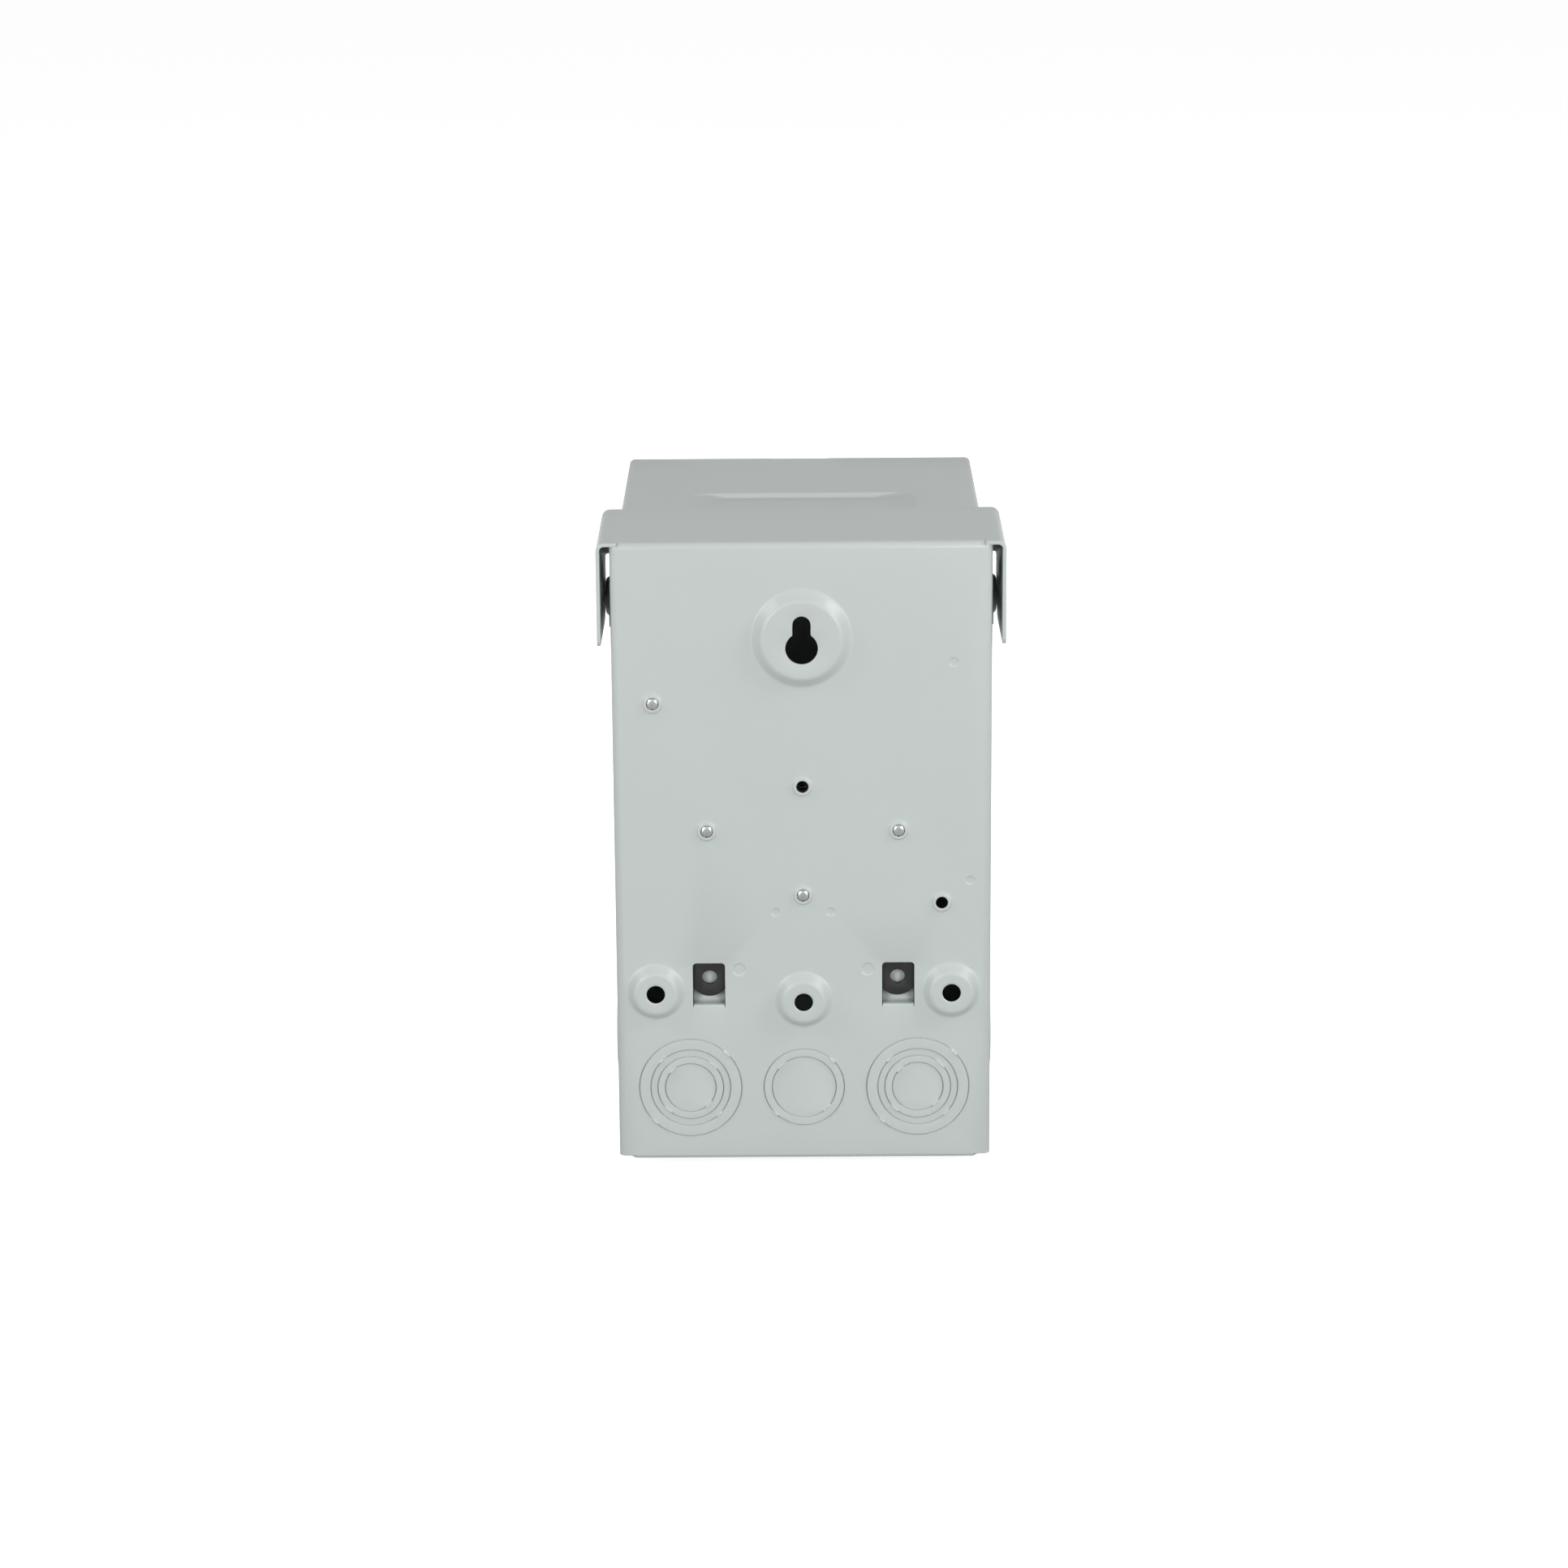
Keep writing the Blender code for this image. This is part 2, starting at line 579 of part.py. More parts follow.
def cut_knockouts(shell):
    rising = math.radians(45)
    falling = math.radians(135)
    groups = [((KNOCKOUT_SIDE_X, KNOCKOUT_Z), KNOCKOUT_SIDE_RINGS),
              ((-KNOCKOUT_SIDE_X, KNOCKOUT_Z), KNOCKOUT_SIDE_RINGS),
              ((0, KNOCKOUT_Z), KNOCKOUT_CENTER_RINGS)]
    for centre, rings in groups:
        for index, size in enumerate(rings):
            diagonal = rising if index % 2 == 0 else falling
            carve(shell, *knockout_arcs("XZ", centre, size, diagonal, y_at(REACH), y_at(-REACH)))


def cut_side_knockouts(shell):
    """One knockout in each side wall, its middle standing slightly proud."""
    centre = (y_at(SIDE_KNOCKOUT_DEPTH), SIDE_KNOCKOUT_Z)
    for side in (-1, 1):
        bulge = sorted((side * (HALF_BOX - SHEET / 2), side * (HALF_BOX + SIDE_KNOCKOUT_BULGE)))
        weld(shell, disc("bulge", "YZ", centre, SIDE_KNOCKOUT / 2 - 2 * KNOCKOUT_SLOT, *bulge, 28))
        wall = sorted((side * (HALF_BOX - REACH), side * (HALF_BOX + REACH)))
        carve(shell, *knockout_arcs("YZ", centre, SIDE_KNOCKOUT, SIDE_KNOCKOUT_TURN, *wall))


def swing_clearance():
    """Upper front corner taken off both side walls, where the door's top edge swings in."""
    depth = PIVOT_DEPTH - math.hypot(FACE_OFFSET, DOOR_TOP_ABOVE_PIVOT) - DOOR_SWING_SPACE
    inner = HALF_HOOD - SHEET - GAP
    return box("swing", (-inner, y_at(BOX_DEPTH + REACH), pivot_z() - NOTCH_BELOW_PIVOT),
               (inner, y_at(depth), HOOD_TOP_Z - SHEET - OVERLAP))


def build_enclosure():
    shell = wrap_body()
    cut_side_knockouts(shell)
    carve(shell, swing_clearance())
    weld(shell, hood_shell())
    carve(shell, top_bend_cutter())
    weld(shell, bottom_plate())
    press_keyhole(shell)
    press_mounting_holes(shell)
    press_small_holes(shell)
    lance_windows(shell)
    cut_knockouts(shell)
    for side in (-1, 1):
        span = sorted((side * (HALF_HOOD - REACH), side * (HALF_HOOD + REACH)))
        carve(shell, disc("rivet_hole", "YZ", (y_at(PIVOT_DEPTH), pivot_z()),
                          RIVET_DIAMETER / 2 + GAP, *span, 20))
    smooth(shell)


# ---------------------------------------------------------------- door

def pivot_z():
    return HOOD_TOP_Z - PIVOT_DROP


def hinge_empty():
    """Hinge axis; the door is shaped closed and stands open at rest."""
    pivot = bpy.data.objects.new("door_hinge_axis", None)
    bpy.context.scene.collection.objects.link(pivot)
    pivot.location = (0, y_at(PIVOT_DEPTH), pivot_z())
    pivot.rotation_euler = (-DOOR_OPEN_ANGLE, 0, 0)
    return pivot


def door_pan():
    """Face with its side and bottom flanges, about the hinge axis, closed."""
    front = -FACE_OFFSET
    back = front + DOOR_FLANGE
    radius = DOOR_BEND_RADIUS
    profile = rounded([
        (-HALF_DOOR, back, 0), (-HALF_DOOR, front, radius), (HALF_DOOR, front, radius),
        (HALF_DOOR, back, 0)])
    pan = prism("door", profile, "XY", -DOOR_REACH, DOOR_TOP_ABOVE_PIVOT, paint())
    inner = HALF_DOOR - SHEET
    hollow = rounded([
        (-inner, back + REACH, 0), (-inner, front + SHEET, radius / 2),
        (inner, front + SHEET, radius / 2), (inner, back + REACH, 0)])
    carve(pan, prism("hollow", hollow, "XY", -DOOR_REACH + SHEET, DOOR_TOP_ABOVE_PIVOT + REACH))
    under = box("under", (-inner - REACH, front + BOTTOM_FLANGE, -DOOR_REACH - REACH),
                (inner + REACH, back + REACH, -DOOR_REACH + SHEET))
    carve(pan, under)
    return pan


def recess_outline(size, middle, margin=0.0):
    width, height, radius = size
    width += margin
    height += margin
    return rounded([
        (-width / 2, middle - height / 2, radius), (width / 2, middle - height / 2, radius),
        (width / 2, middle + height / 2, radius), (-width / 2, middle + height / 2, radius)], 5)


def press_recess(pan):
    """Shallow panel pressed inwards in the middle of the door's face."""
    middle = -DOOR_REACH + RECESS_FROM_BOTTOM + RECESS[1] / 2
    front = -FACE_OFFSET
    floor = recess_outline(RECESS_FLOOR, middle)
    weld(pan, prism("pad", recess_outline(RECESS, middle), "XZ", front + SHEET - OVERLAP,
                    front + SHEET + RECESS_DEPTH, end_outline=floor))
    carve(pan, prism("pocket", recess_outline(RECESS, middle, 1 * MM), "XZ",
                     front - OVERLAP / 4, front + RECESS_DEPTH, end_outline=floor))


def build_door():
    pivot = hinge_empty()
    pan = door_pan()
    press_recess(pan)
    bottom = -DOOR_REACH
    half = NOTCH_WIDTH / 2
    notch = box("notch", (-half, -FACE_OFFSET - REACH, bottom - REACH),
                (half, -FACE_OFFSET + SHEET - OVERLAP, bottom + NOTCH_DEPTH))
    hole = disc("padlock", "XY", (0, -FACE_OFFSET + PADLOCK_SETBACK), PADLOCK_HOLE / 2,
                bottom - REACH, bottom + REACH, 16)
    carve(pan, notch, hole)
    boss_top = HALF_HOOD - SHEET - GAP
    for side in (-1, 1):
        boss = disc("boss", "YZ", (0, 0), HINGE_BOSS[0] / 2, side * (HALF_DOOR - OVERLAP),
                    side * boss_top, 28, end_radius=HINGE_BOSS[1] / 2)
        weld(pan, boss)
        span = sorted((side * (HALF_DOOR - REACH), side * (HALF_DOOR + REACH)))
        carve(pan, disc("hole", "YZ", (0, 0), RIVET_DIAMETER / 2 + GAP, *span, 20))
    smooth(pan)
    pan.parent = pivot
    inside = -FACE_OFFSET + SHEET + GAP
    label_low = -DOOR_REACH + LABEL_FROM_BOTTOM
    half = LABEL_SIZE[0] / 2
    label = box("directory_label", (-half, inside, label_low),
                (half, inside + LABEL_THICKNESS, label_low + LABEL_SIZE[1]), paper())
    label.parent = pivot


def build_hinge_rivets():
    """Shouldered rivets through the skirts and the door's flanges."""
    centre = (y_at(PIVOT_DEPTH), pivot_z())
    for name, side in (("hinge_rivet_left", -1), ("hinge_rivet_right", 1)):
        outside = side * (HALF_HOOD + GAP)
        inside = side * (HALF_DOOR - SHEET - GAP)
        head = side * RIVET_HEAD_HEIGHT
        rim = RIVET_HEAD / 2 - RIVET_HEAD_TAPER
        rivet = disc(name, "YZ", centre, RIVET_DIAMETER / 2, inside, outside, 20, zinc())
        weld(rivet, disc("head", "YZ", centre, RIVET_HEAD / 2, outside - side * OVERLAP / 4,
                         outside + head, 20, end_radius=rim))
        weld(rivet, disc("tail", "YZ", centre, RIVET_HEAD / 2, inside + side * OVERLAP / 4,
                         inside - head, 20, end_radius=rim))
        smooth(rivet)


# ---------------------------------------------------------------- interior

def screw(name, centre, head_back, tip, head, shank, finish, head_height=SCREW_HEAD_HEIGHT):
    """A pan-head screw that points into the wall, with a slotted head."""
    made = disc(name, "XZ", centre, shank / 2, y_at(head_back + OVERLAP), y_at(tip), 12, finish)
    top = head_back + head_height
    weld(made, disc("head", "XZ", centre, head / 2, y_at(head_back), y_at(top), 14,
                    end_radius=head / 2 - head_height / 4))
    x, z = centre
    slot = box("slot", (x - head, y_at(top + REACH), z - SCREW_SLOT / 2),
               (x + head, y_at(top - head_height / 2), z + SCREW_SLOT / 2))
    carve(made, slot)
    smooth(made)
    return made


def build_base():
    """Moulded base that carries the buses, hooked into the windows by two tongues."""
    half = BASE_WIDTH / 2
    base = box("interior_base", (-half, y_at(BASE_FRONT), BASE_BOTTOM_Z),
               (half, y_at(BASE_BACK), BASE_TOP_Z), black_plastic())
    for place in BASE_SCREWS.values():
        carve(base, disc("hole", "XZ", place, SCREW_SHANK / 2 + GAP, y_at(BASE_FRONT + REACH),
                         y_at(0), 14))
    carve(base, disc("bond_hole", "XZ", OPEN_HOLES[0], OPEN_HOLE / 2, y_at(BASE_FRONT + REACH),
                     y_at(0), 14))
    for side in (-1, 1):
        middle = side * TONGUE_X
        tongue = circle(middle, TONGUE_Z, TONGUE_RADIUS, 16, math.pi, math.pi)
        tongue += [(middle + TONGUE_RADIUS, BASE_BOTTOM_Z + REACH),
                   (middle - TONGUE_RADIUS, BASE_BOTTOM_Z + REACH)]
        weld(base, prism("tongue", tongue, "XZ", y_at(BASE_BACK + TONGUE_THICKNESS),
                         y_at(BASE_BACK)))
        carve(base, disc("eye", "XZ", (middle, TONGUE_Z), TONGUE_HOLE / 2, y_at(BASE_FRONT),
                         y_at(0), 20))
        post = (side * DEADFRONT_POST[0], DEADFRONT_POST[1])
        weld(base, disc("post", "XZ", post, POST_RADIUS, y_at(DEADFRONT_DEPTH - GAP),
                        y_at(BASE_FRONT - OVERLAP), 16))
        carve(base, disc("pilot", "XZ", post, DEADFRONT_SCREW / 2 + GAP,
                         y_at(DEADFRONT_DEPTH + REACH), y_at(DEADFRONT_DEPTH - PILOT_DEPTH), 12))
    add_base_walls(base)
    smooth(base)


def add_base_walls(base):
    """Barriers between the lugs and the rail that the breakers' terminal ends meet."""
    low = y_at(WALL_DEPTH)
    high = y_at(BASE_FRONT - OVERLAP)
    lug_half = LUG_SIZE[0] / 2
    wall = WALL_THICKNESS / 2
    middles = (BUS_X["b"] - lug_half - WALL_TO_LUG[0], (BUS_X["a"] + BUS_X["b"]) / 2,
               BUS_X["a"] + lug_half + WALL_TO_LUG[1])
    for middle in middles:
        weld(base, box("wall", (middle - wall, low, WALL_Z[0]), (middle + wall, high, WALL_Z[1])))
    rail_x = -BREAKER_LENGTH / 2 - RAIL_TO_BREAKER
    weld(base, box("rail", (rail_x - RAIL_THICKNESS, y_at(RAIL_DEPTH), BASE_BOTTOM_Z + RAIL_THICKNESS),
                   (rail_x, high, BREAKER_UPPER_Z + BREAKER_WIDTH / 2 - RAIL_THICKNESS)))


def build_base_screws():
    for name, place in BASE_SCREWS.items():
        screw(name, place, BASE_FRONT + GAP, -SCREW_TIP_PROUD, SCREW_HEAD, SCREW_SHANK, zinc())


def build_ground_bar():
    """Earth bar screwed straight to the panel, with its four terminals."""
    x, z = GROUND_SCREW
    half = GROUND_BAR_WIDTH / 2
    back = SHEET + GAP
    front = back + GROUND_BAR_DEPTH
    bar = box("ground_bar", (x - half, y_at(front), GROUND_BAR_Z[0]),
              (x + half, y_at(back), GROUND_BAR_Z[1]), aluminium())
    carve(bar, disc("mount", "XZ", (x, z), SCREW_SHANK / 2 + GAP, y_at(front + REACH), y_at(0), 16))
    for index, level in enumerate(GROUND_TERMINAL_Z, 1):
        wire = (y_at(back + GROUND_BAR_DEPTH / 2), level)
        carve(bar, disc("wire", "YZ", wire, WIRE_BORE / 2, x - half - REACH, x + half + REACH, 16))
        carve(bar, disc("thread", "XZ", (x, level), TERMINAL_SCREW / 2 + GAP, y_at(front + REACH),
                        y_at(back + GROUND_BAR_DEPTH / 2), 16))
        tip = back + GROUND_BAR_DEPTH / 2 + WIRE_BORE / 2 - TERMINAL_TIP_CLEAR
        screw(f"ground_terminal_screw_{index}", (x, level), front + GAP, tip, TERMINAL_HEAD,
              TERMINAL_SCREW, zinc(), TERMINAL_HEAD_HEIGHT)
    smooth(bar)
    screw("ground_bar_screw", (x, z), front + GAP, -SCREW_TIP_PROUD, SCREW_HEAD, SCREW_SHANK, zinc())


def build_neutral_bar():
    """Neutral bar on the base: one large terminal, four small ones, one bonding hole."""
    back = BUS_BACK
    front = back + NEUTRAL_BAR_DEPTH
    middle_z = sum(NEUTRAL_BAR_Z) / 2
    bar = box("neutral_bar", (NEUTRAL_BAR[0], y_at(front), NEUTRAL_BAR_Z[0]),
              (NEUTRAL_BAR[1], y_at(back), NEUTRAL_BAR_Z[1]), aluminium())
    wire_depth = y_at(back + NEUTRAL_BAR_DEPTH / 2)
    sizes = [(x, WIRE_BORE, TERMINAL_SCREW, TERMINAL_HEAD) for x in NEUTRAL_SCREW_X]
    sizes.append((NEUTRAL_MAIN_X, *NEUTRAL_MAIN))
    for index, (x, bore, thread, head) in enumerate(sizes, 1):
        carve(bar, disc("wire", "XY", (x, wire_depth), bore / 2, NEUTRAL_BAR_Z[0] - REACH,
                        NEUTRAL_BAR_Z[1] + REACH, 16))
        carve(bar, disc("thread", "XZ", (x, middle_z), thread / 2 + GAP, y_at(front + REACH),
                        wire_depth, 16))
        name = f"neutral_terminal_screw_{index}" if index < len(sizes) else "neutral_main_screw"
        tip = back + NEUTRAL_BAR_DEPTH / 2 + bore / 2 - TERMINAL_TIP_CLEAR
        screw(name, (x, middle_z), front + GAP, tip, head, thread, zinc(), TERMINAL_HEAD_HEIGHT)
    carve(bar, disc("bond", "XZ", OPEN_HOLES[0], OPEN_HOLE / 2, y_at(front + REACH), y_at(0), 16))
    smooth(bar)


def bus_outline(letter, foot_z):
    """Flat strip down from the lug; bus b turns under bus a to reach the same stab line."""
    x = BUS_X[letter]
    half = BUS_WIDTH / 2
    stab_x = BUS_X["a"]
    low = foot_z - half
    if letter == "a":
        return [(x - half, low), (x + half, low), (x + half, BUS_TOP_Z), (x - half, BUS_TOP_Z)]
    return [(x - half, low), (stab_x + half, low), (stab_x + half, foot_z + half),
            (x + half, foot_z + half), (x + half, BUS_TOP_Z), (x - half, BUS_TOP_Z)]


def build_bus(letter, foot_z):
    """Bus strip with its upright stab, its box lug and the lug's set screw."""
    bus = prism(f"line_bus_{letter}", bus_outline(letter, foot_z), "XZ", y_at(BUS_FRONT),
                y_at(BUS_BACK), aluminium())
    stab_x = BUS_X["a"]
    blade = BUS_THICKNESS / 2
    weld(bus, box("stab", (stab_x - blade, y_at(BUS_FRONT + STAB_REACH), foot_z - STAB_HALF_HEIGHT),
                  (stab_x + blade, y_at(BUS_FRONT - OVERLAP), foot_z + STAB_HALF_HEIGHT)))
    x = BUS_X[letter]
    wide, deep, tall = LUG_SIZE
    back = BUS_FRONT + GAP
    front = back + deep
    lug = box(f"line_lug_{letter}", (x - wide / 2, y_at(front), LUG_Z - tall / 2),
              (x + wide / 2, y_at(back), LUG_Z + tall / 2), aluminium())
    bore_y = y_at(back + LUG_WALL + LUG_BORE / 2)
    carve(lug, disc("bore", "XY", (x, bore_y), LUG_BORE / 2, LUG_Z - tall, LUG_Z + tall, 24))
    carve(lug, disc("thread", "XZ", (x, LUG_Z), LUG_SCREW / 2 + GAP, y_at(front + REACH), bore_y, 20))
    smooth(lug)
    tip = back + LUG_BORE
    set_screw = disc(f"line_lug_screw_{letter}", "XZ", (x, LUG_Z), LUG_SCREW / 2,
                     y_at(front + LUG_SCREW_PROUD), y_at(tip), 20, aluminium())
    across, deep = LUG_SOCKET
    socket = circle(x, LUG_Z, across / 2, 6)
    carve(set_screw, prism("socket", socket, "XZ", y_at(front + REACH),
                           y_at(front + LUG_SCREW_PROUD - deep)))
    smooth(set_screw)


# ---------------------------------------------------------------- breakers

def breaker_case(name, z):
    """Moulded case lying across the box, terminal end to -X and stab slot to +X."""
    half = BREAKER_LENGTH / 2
    tall = BREAKER_WIDTH / 2
    step, step_depth = BREAKER_TERMINAL
    step_x = -half + step
    collar_half = COLLAR_WIDTH / 2
    run, drop = BREAKER_SHOULDER
    side = [(-half, y_at(BREAKER_BACK_DEPTH)), (half, y_at(BREAKER_BACK_DEPTH)),
            (half, y_at(BREAKER_FRONT_DEPTH - drop)), (collar_half + run, y_at(BREAKER_FRONT_DEPTH)),
            (step_x, y_at(BREAKER_FRONT_DEPTH)), (step_x, y_at(step_depth)), (-half, y_at(step_depth))]
    case = prism(name, side, "XY", z - tall, z + tall, case_plastic())
    collar = box("collar", (-collar_half, y_at(COLLAR_DEPTH), z - COLLAR_HEIGHT / 2),
                 (collar_half, y_at(BREAKER_FRONT_DEPTH - OVERLAP), z + COLLAR_HEIGHT / 2))
    weld(case, collar)
    well = HANDLE_WIDTH / 2 + GAP
    hub = HANDLE_HUB_RADIUS + GAP
    carve(case, box("well", (-SLOT_LENGTH / 2, y_at(COLLAR_DEPTH + REACH), z - well),
                    (SLOT_LENGTH / 2, y_at(HANDLE_PIVOT_DEPTH - hub), z + well)))
    carve(case, disc("socket", "XY", (0, y_at(HANDLE_PIVOT_DEPTH)), TRUNNION_RADIUS + GAP,
                     z - well - TRUNNION_SOCKET, z + well + TRUNNION_SOCKET, 16))
    stab_x = BUS_X["a"]
    slot_wide, slot_tall, slot_deep = STAB_SLOT
    carve(case, box("stab_slot", (stab_x - slot_wide / 2, y_at(BUS_FRONT + slot_deep), z - slot_tall / 2),
                    (stab_x + slot_wide / 2, y_at(0), z + slot_tall / 2)))
    terminal_x = -half + step / 2
    carve(case, disc("wire", "YZ", (y_at(BREAKER_WIRE_DEPTH), z), BREAKER_WIRE_RADIUS,
                     -half - REACH, step_x, 16))
    carve(case, disc("thread", "XZ", (terminal_x, z), TERMINAL_SCREW / 2 + GAP,
                     y_at(step_depth + REACH), y_at(BREAKER_WIRE_DEPTH), 16))
    return case, terminal_x


def breaker_handle(name, z):
    """Toggle on its own trunnions, tipped to OFF at rest."""
    pivot = (0, y_at(HANDLE_PIVOT_DEPTH), z)
    half = HANDLE_WIDTH / 2
    handle = disc(name, "XY", (0, 0), HANDLE_HUB_RADIUS, -half, half, 24, case_plastic())
    reach = -HANDLE_REACH
    lever = rounded([
        (-HANDLE_THICKNESS / 2 - HANDLE_FLARE, 0, 0), (HANDLE_THICKNESS / 2 + HANDLE_FLARE, 0, 0),
        (HANDLE_THICKNESS / 2, reach, HANDLE_TIP_RADIUS),
        (-HANDLE_THICKNESS / 2, reach, HANDLE_TIP_RADIUS)])
    weld(handle, prism("lever", lever, "XY", -half + OVERLAP, half - OVERLAP))
    weld(handle, disc("trunnion", "XY", (0, 0), TRUNNION_RADIUS, -half - TRUNNION_LENGTH,
                      half + TRUNNION_LENGTH, 16))
    smooth(handle)
    handle.location = pivot
    handle.rotation_euler = (0, 0, -HANDLE_SWING)


def build_breaker(position, z):
    case, terminal_x = breaker_case(f"breaker_{position}", z)
    smooth(case)
    screw(f"breaker_{position}_terminal_screw", (terminal_x, z), BREAKER_TERMINAL[1] + GAP,
          BREAKER_SCREW_TIP_DEPTH, TERMINAL_HEAD, TERMINAL_SCREW, zinc(), TERMINAL_HEAD_HEIGHT)
    breaker_handle(f"breaker_{position}_handle", z)


# ---------------------------------------------------------------- deadfront

def build_deadfront():
    """Inner cover over the live parts, with a window round the breakers' collars."""
    half = DEADFRONT_WIDTH / 2
    back = DEADFRONT_DEPTH
    front = back + DEADFRONT_SHEET
    low = SIDE_BOTTOM_Z + GAP
    pan = box("deadfront", (-half, y_at(front), low), (half, y_at(back - DEADFRONT_FLANGE),
                                                      DEADFRONT_TOP_Z), paint())
    inner = half - DEADFRONT_SHEET
    carve(pan, box("hollow", (-inner, y_at(back), low + DEADFRONT_SHEET),
                   (inner, y_at(0), DEADFRONT_TOP_Z - DEADFRONT_SHEET)))
    top = BREAKER_UPPER_Z + COLLAR_HEIGHT / 2 + 2 * GAP
    bottom = BREAKER_UPPER_Z - BREAKER_PITCH - COLLAR_HEIGHT / 2 - 2 * GAP
    wide = COLLAR_WIDTH / 2 + 2 * GAP
    carve(pan, box("window", (-wide, y_at(front + REACH), bottom), (wide, y_at(back - REACH), top)))
    for name, side in (("deadfront_screw_left", -1), ("deadfront_screw_right", 1)):
        place = (side * DEADFRONT_POST[0], DEADFRONT_POST[1])
        carve(pan, disc("hole", "XZ", place, DEADFRONT_SCREW / 2 + GAP, y_at(front + REACH),
                        y_at(back - REACH), 16))
        head, head_height = DEADFRONT_SCREW_HEAD
        screw(name, place, front + GAP, back - DEADFRONT_SCREW_LENGTH, head, DEADFRONT_SCREW, zinc(),
              head_height)
    smooth(pan)


def main():
    clear_scene()
    build_enclosure()
    build_door()
    build_hinge_rivets()
    build_base()
    build_base_screws()
    build_ground_bar()
    build_neutral_bar()
    build_bus("a", BREAKER_UPPER_Z)
    build_bus("b", BREAKER_UPPER_Z - BREAKER_PITCH)
    build_breaker("upper", BREAKER_UPPER_Z)
    build_breaker("lower", BREAKER_UPPER_Z - BREAKER_PITCH)
    build_deadfront()


main()
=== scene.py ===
"""Outdoor load centre: the looks of a small rainproof breaker box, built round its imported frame."""

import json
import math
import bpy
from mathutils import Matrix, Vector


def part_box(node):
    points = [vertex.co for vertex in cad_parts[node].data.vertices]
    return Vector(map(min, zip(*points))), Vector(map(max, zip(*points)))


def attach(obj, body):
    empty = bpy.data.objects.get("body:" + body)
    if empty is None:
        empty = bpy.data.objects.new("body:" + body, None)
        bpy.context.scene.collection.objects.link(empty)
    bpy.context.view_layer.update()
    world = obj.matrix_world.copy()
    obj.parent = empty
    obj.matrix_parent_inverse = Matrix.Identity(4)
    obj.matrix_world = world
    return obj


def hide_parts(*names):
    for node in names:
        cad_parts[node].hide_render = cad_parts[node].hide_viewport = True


bl_info = {
    "name": "Outdoor Load Centre",
    "version": (1, 0, 0),
    "blender": (4, 5, 0),
    "location": "View3D > Sidebar > Load Centre",
    "description": "Builds the sheet-metal box, its door, interior and finishes round the packed frame",
    "category": "Object",
}

import bmesh
import bpy
from mathutils import Matrix, Vector

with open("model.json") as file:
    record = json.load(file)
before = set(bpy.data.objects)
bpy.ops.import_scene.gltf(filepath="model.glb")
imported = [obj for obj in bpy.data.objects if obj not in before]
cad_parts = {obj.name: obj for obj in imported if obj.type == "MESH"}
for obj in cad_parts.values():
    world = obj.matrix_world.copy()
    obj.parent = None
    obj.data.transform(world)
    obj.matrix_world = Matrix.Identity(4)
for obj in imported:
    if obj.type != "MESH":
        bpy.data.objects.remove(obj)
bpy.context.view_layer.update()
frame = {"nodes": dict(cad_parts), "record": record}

MM = 0.001
X, Y, Z = 0, 1, 2
MOUNTS = {mount["name"]: Vector(mount["pos_m"]) for mount in frame["record"]["mounts"]}
BOX_LOW, BOX_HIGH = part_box("enclosure")
DOOR_LOW, DOOR_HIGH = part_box("door")

# The enclosure's own planes. Depths run forwards from the back panel's outer face.
PANEL_Y = -4.0 * MM
HALF_PANEL = 81.0 * MM
HALF_HOOD = BOX_HIGH.x
TOP_Z = BOX_HIGH.z
BOTTOM_Z = BOX_LOW.z
HOOD_FRONT_Y = BOX_LOW.y
SIDE_FRONT_Y = PANEL_Y - 65.0 * MM
LIP_Z = TOP_Z - 20.0 * MM
SKIRT_Z = TOP_Z - 45.0 * MM
SKIRT_FRONT_Y = PANEL_Y - 64.0 * MM
HINGE_Y = PANEL_Y - 57.0 * MM
HINGE_Z = TOP_Z - 36.0 * MM
HALF_DOOR = 83.0 * MM


def at_depth(depth):
    """World Y of a depth given in millimetres."""
    return PANEL_Y - depth * MM


# ---------------------------------------------------------------- modelling by hand

def finish_editing():
    if bpy.context.object and bpy.context.object.mode != "OBJECT":
        bpy.ops.object.mode_set(mode="OBJECT")
    bpy.ops.object.select_all(action="DESELECT")


def start_piece(name):
    """A new empty piece at the origin, open in edit mode."""
    finish_editing()
    bpy.ops.mesh.primitive_plane_add(size=MM)
    piece = bpy.context.object
    piece.name = name
    piece.data.name = name
    bpy.ops.object.mode_set(mode="EDIT")
    bpy.ops.mesh.select_mode(type="VERT")
    bpy.ops.mesh.select_all(action="SELECT")
    bpy.ops.mesh.delete(type="VERT")
    return piece


def unpicked_mesh():
    """The mesh being edited, with nothing on it selected."""
    bm = bmesh.from_edit_mesh(bpy.context.object.data)
    for part in (bm.faces, bm.edges, bm.verts):
        for item in part:
            item.select = False
    return bm


def show_picked():
    bmesh.update_edit_mesh(bpy.context.object.data, loop_triangles=False, destructive=False)


def pick(test):
    """Select the vertices that pass the test, with the edges and faces between them."""
    bm = unpicked_mesh()
    found = [vert for vert in bm.verts if test(vert.co)]
    for vert in found:
        vert.select = True
    bm.select_flush(True)
    show_picked()
    if not found:
        raise RuntimeError("no vertex passed the test")


def pick_edges(test):
    """Select the edges whose two ends pass the test together."""
    for edge in unpicked_mesh().edges:
        if test(edge.verts[0].co, edge.verts[1].co):
            edge.select_set(True)
    show_picked()


def pick_faces(test):
    """Select the faces whose middle and normal pass the test."""
    for face in unpicked_mesh().faces:
        if test(face.calc_center_median(), face.normal):
            face.select_set(True)
    show_picked()


def near(a, b, within=2e-5):
    return abs(a - b) < within


def both(axis, level, a, b):
    """True when both places have this level along the axis."""
    return near(a[axis], level) and near(b[axis], level)


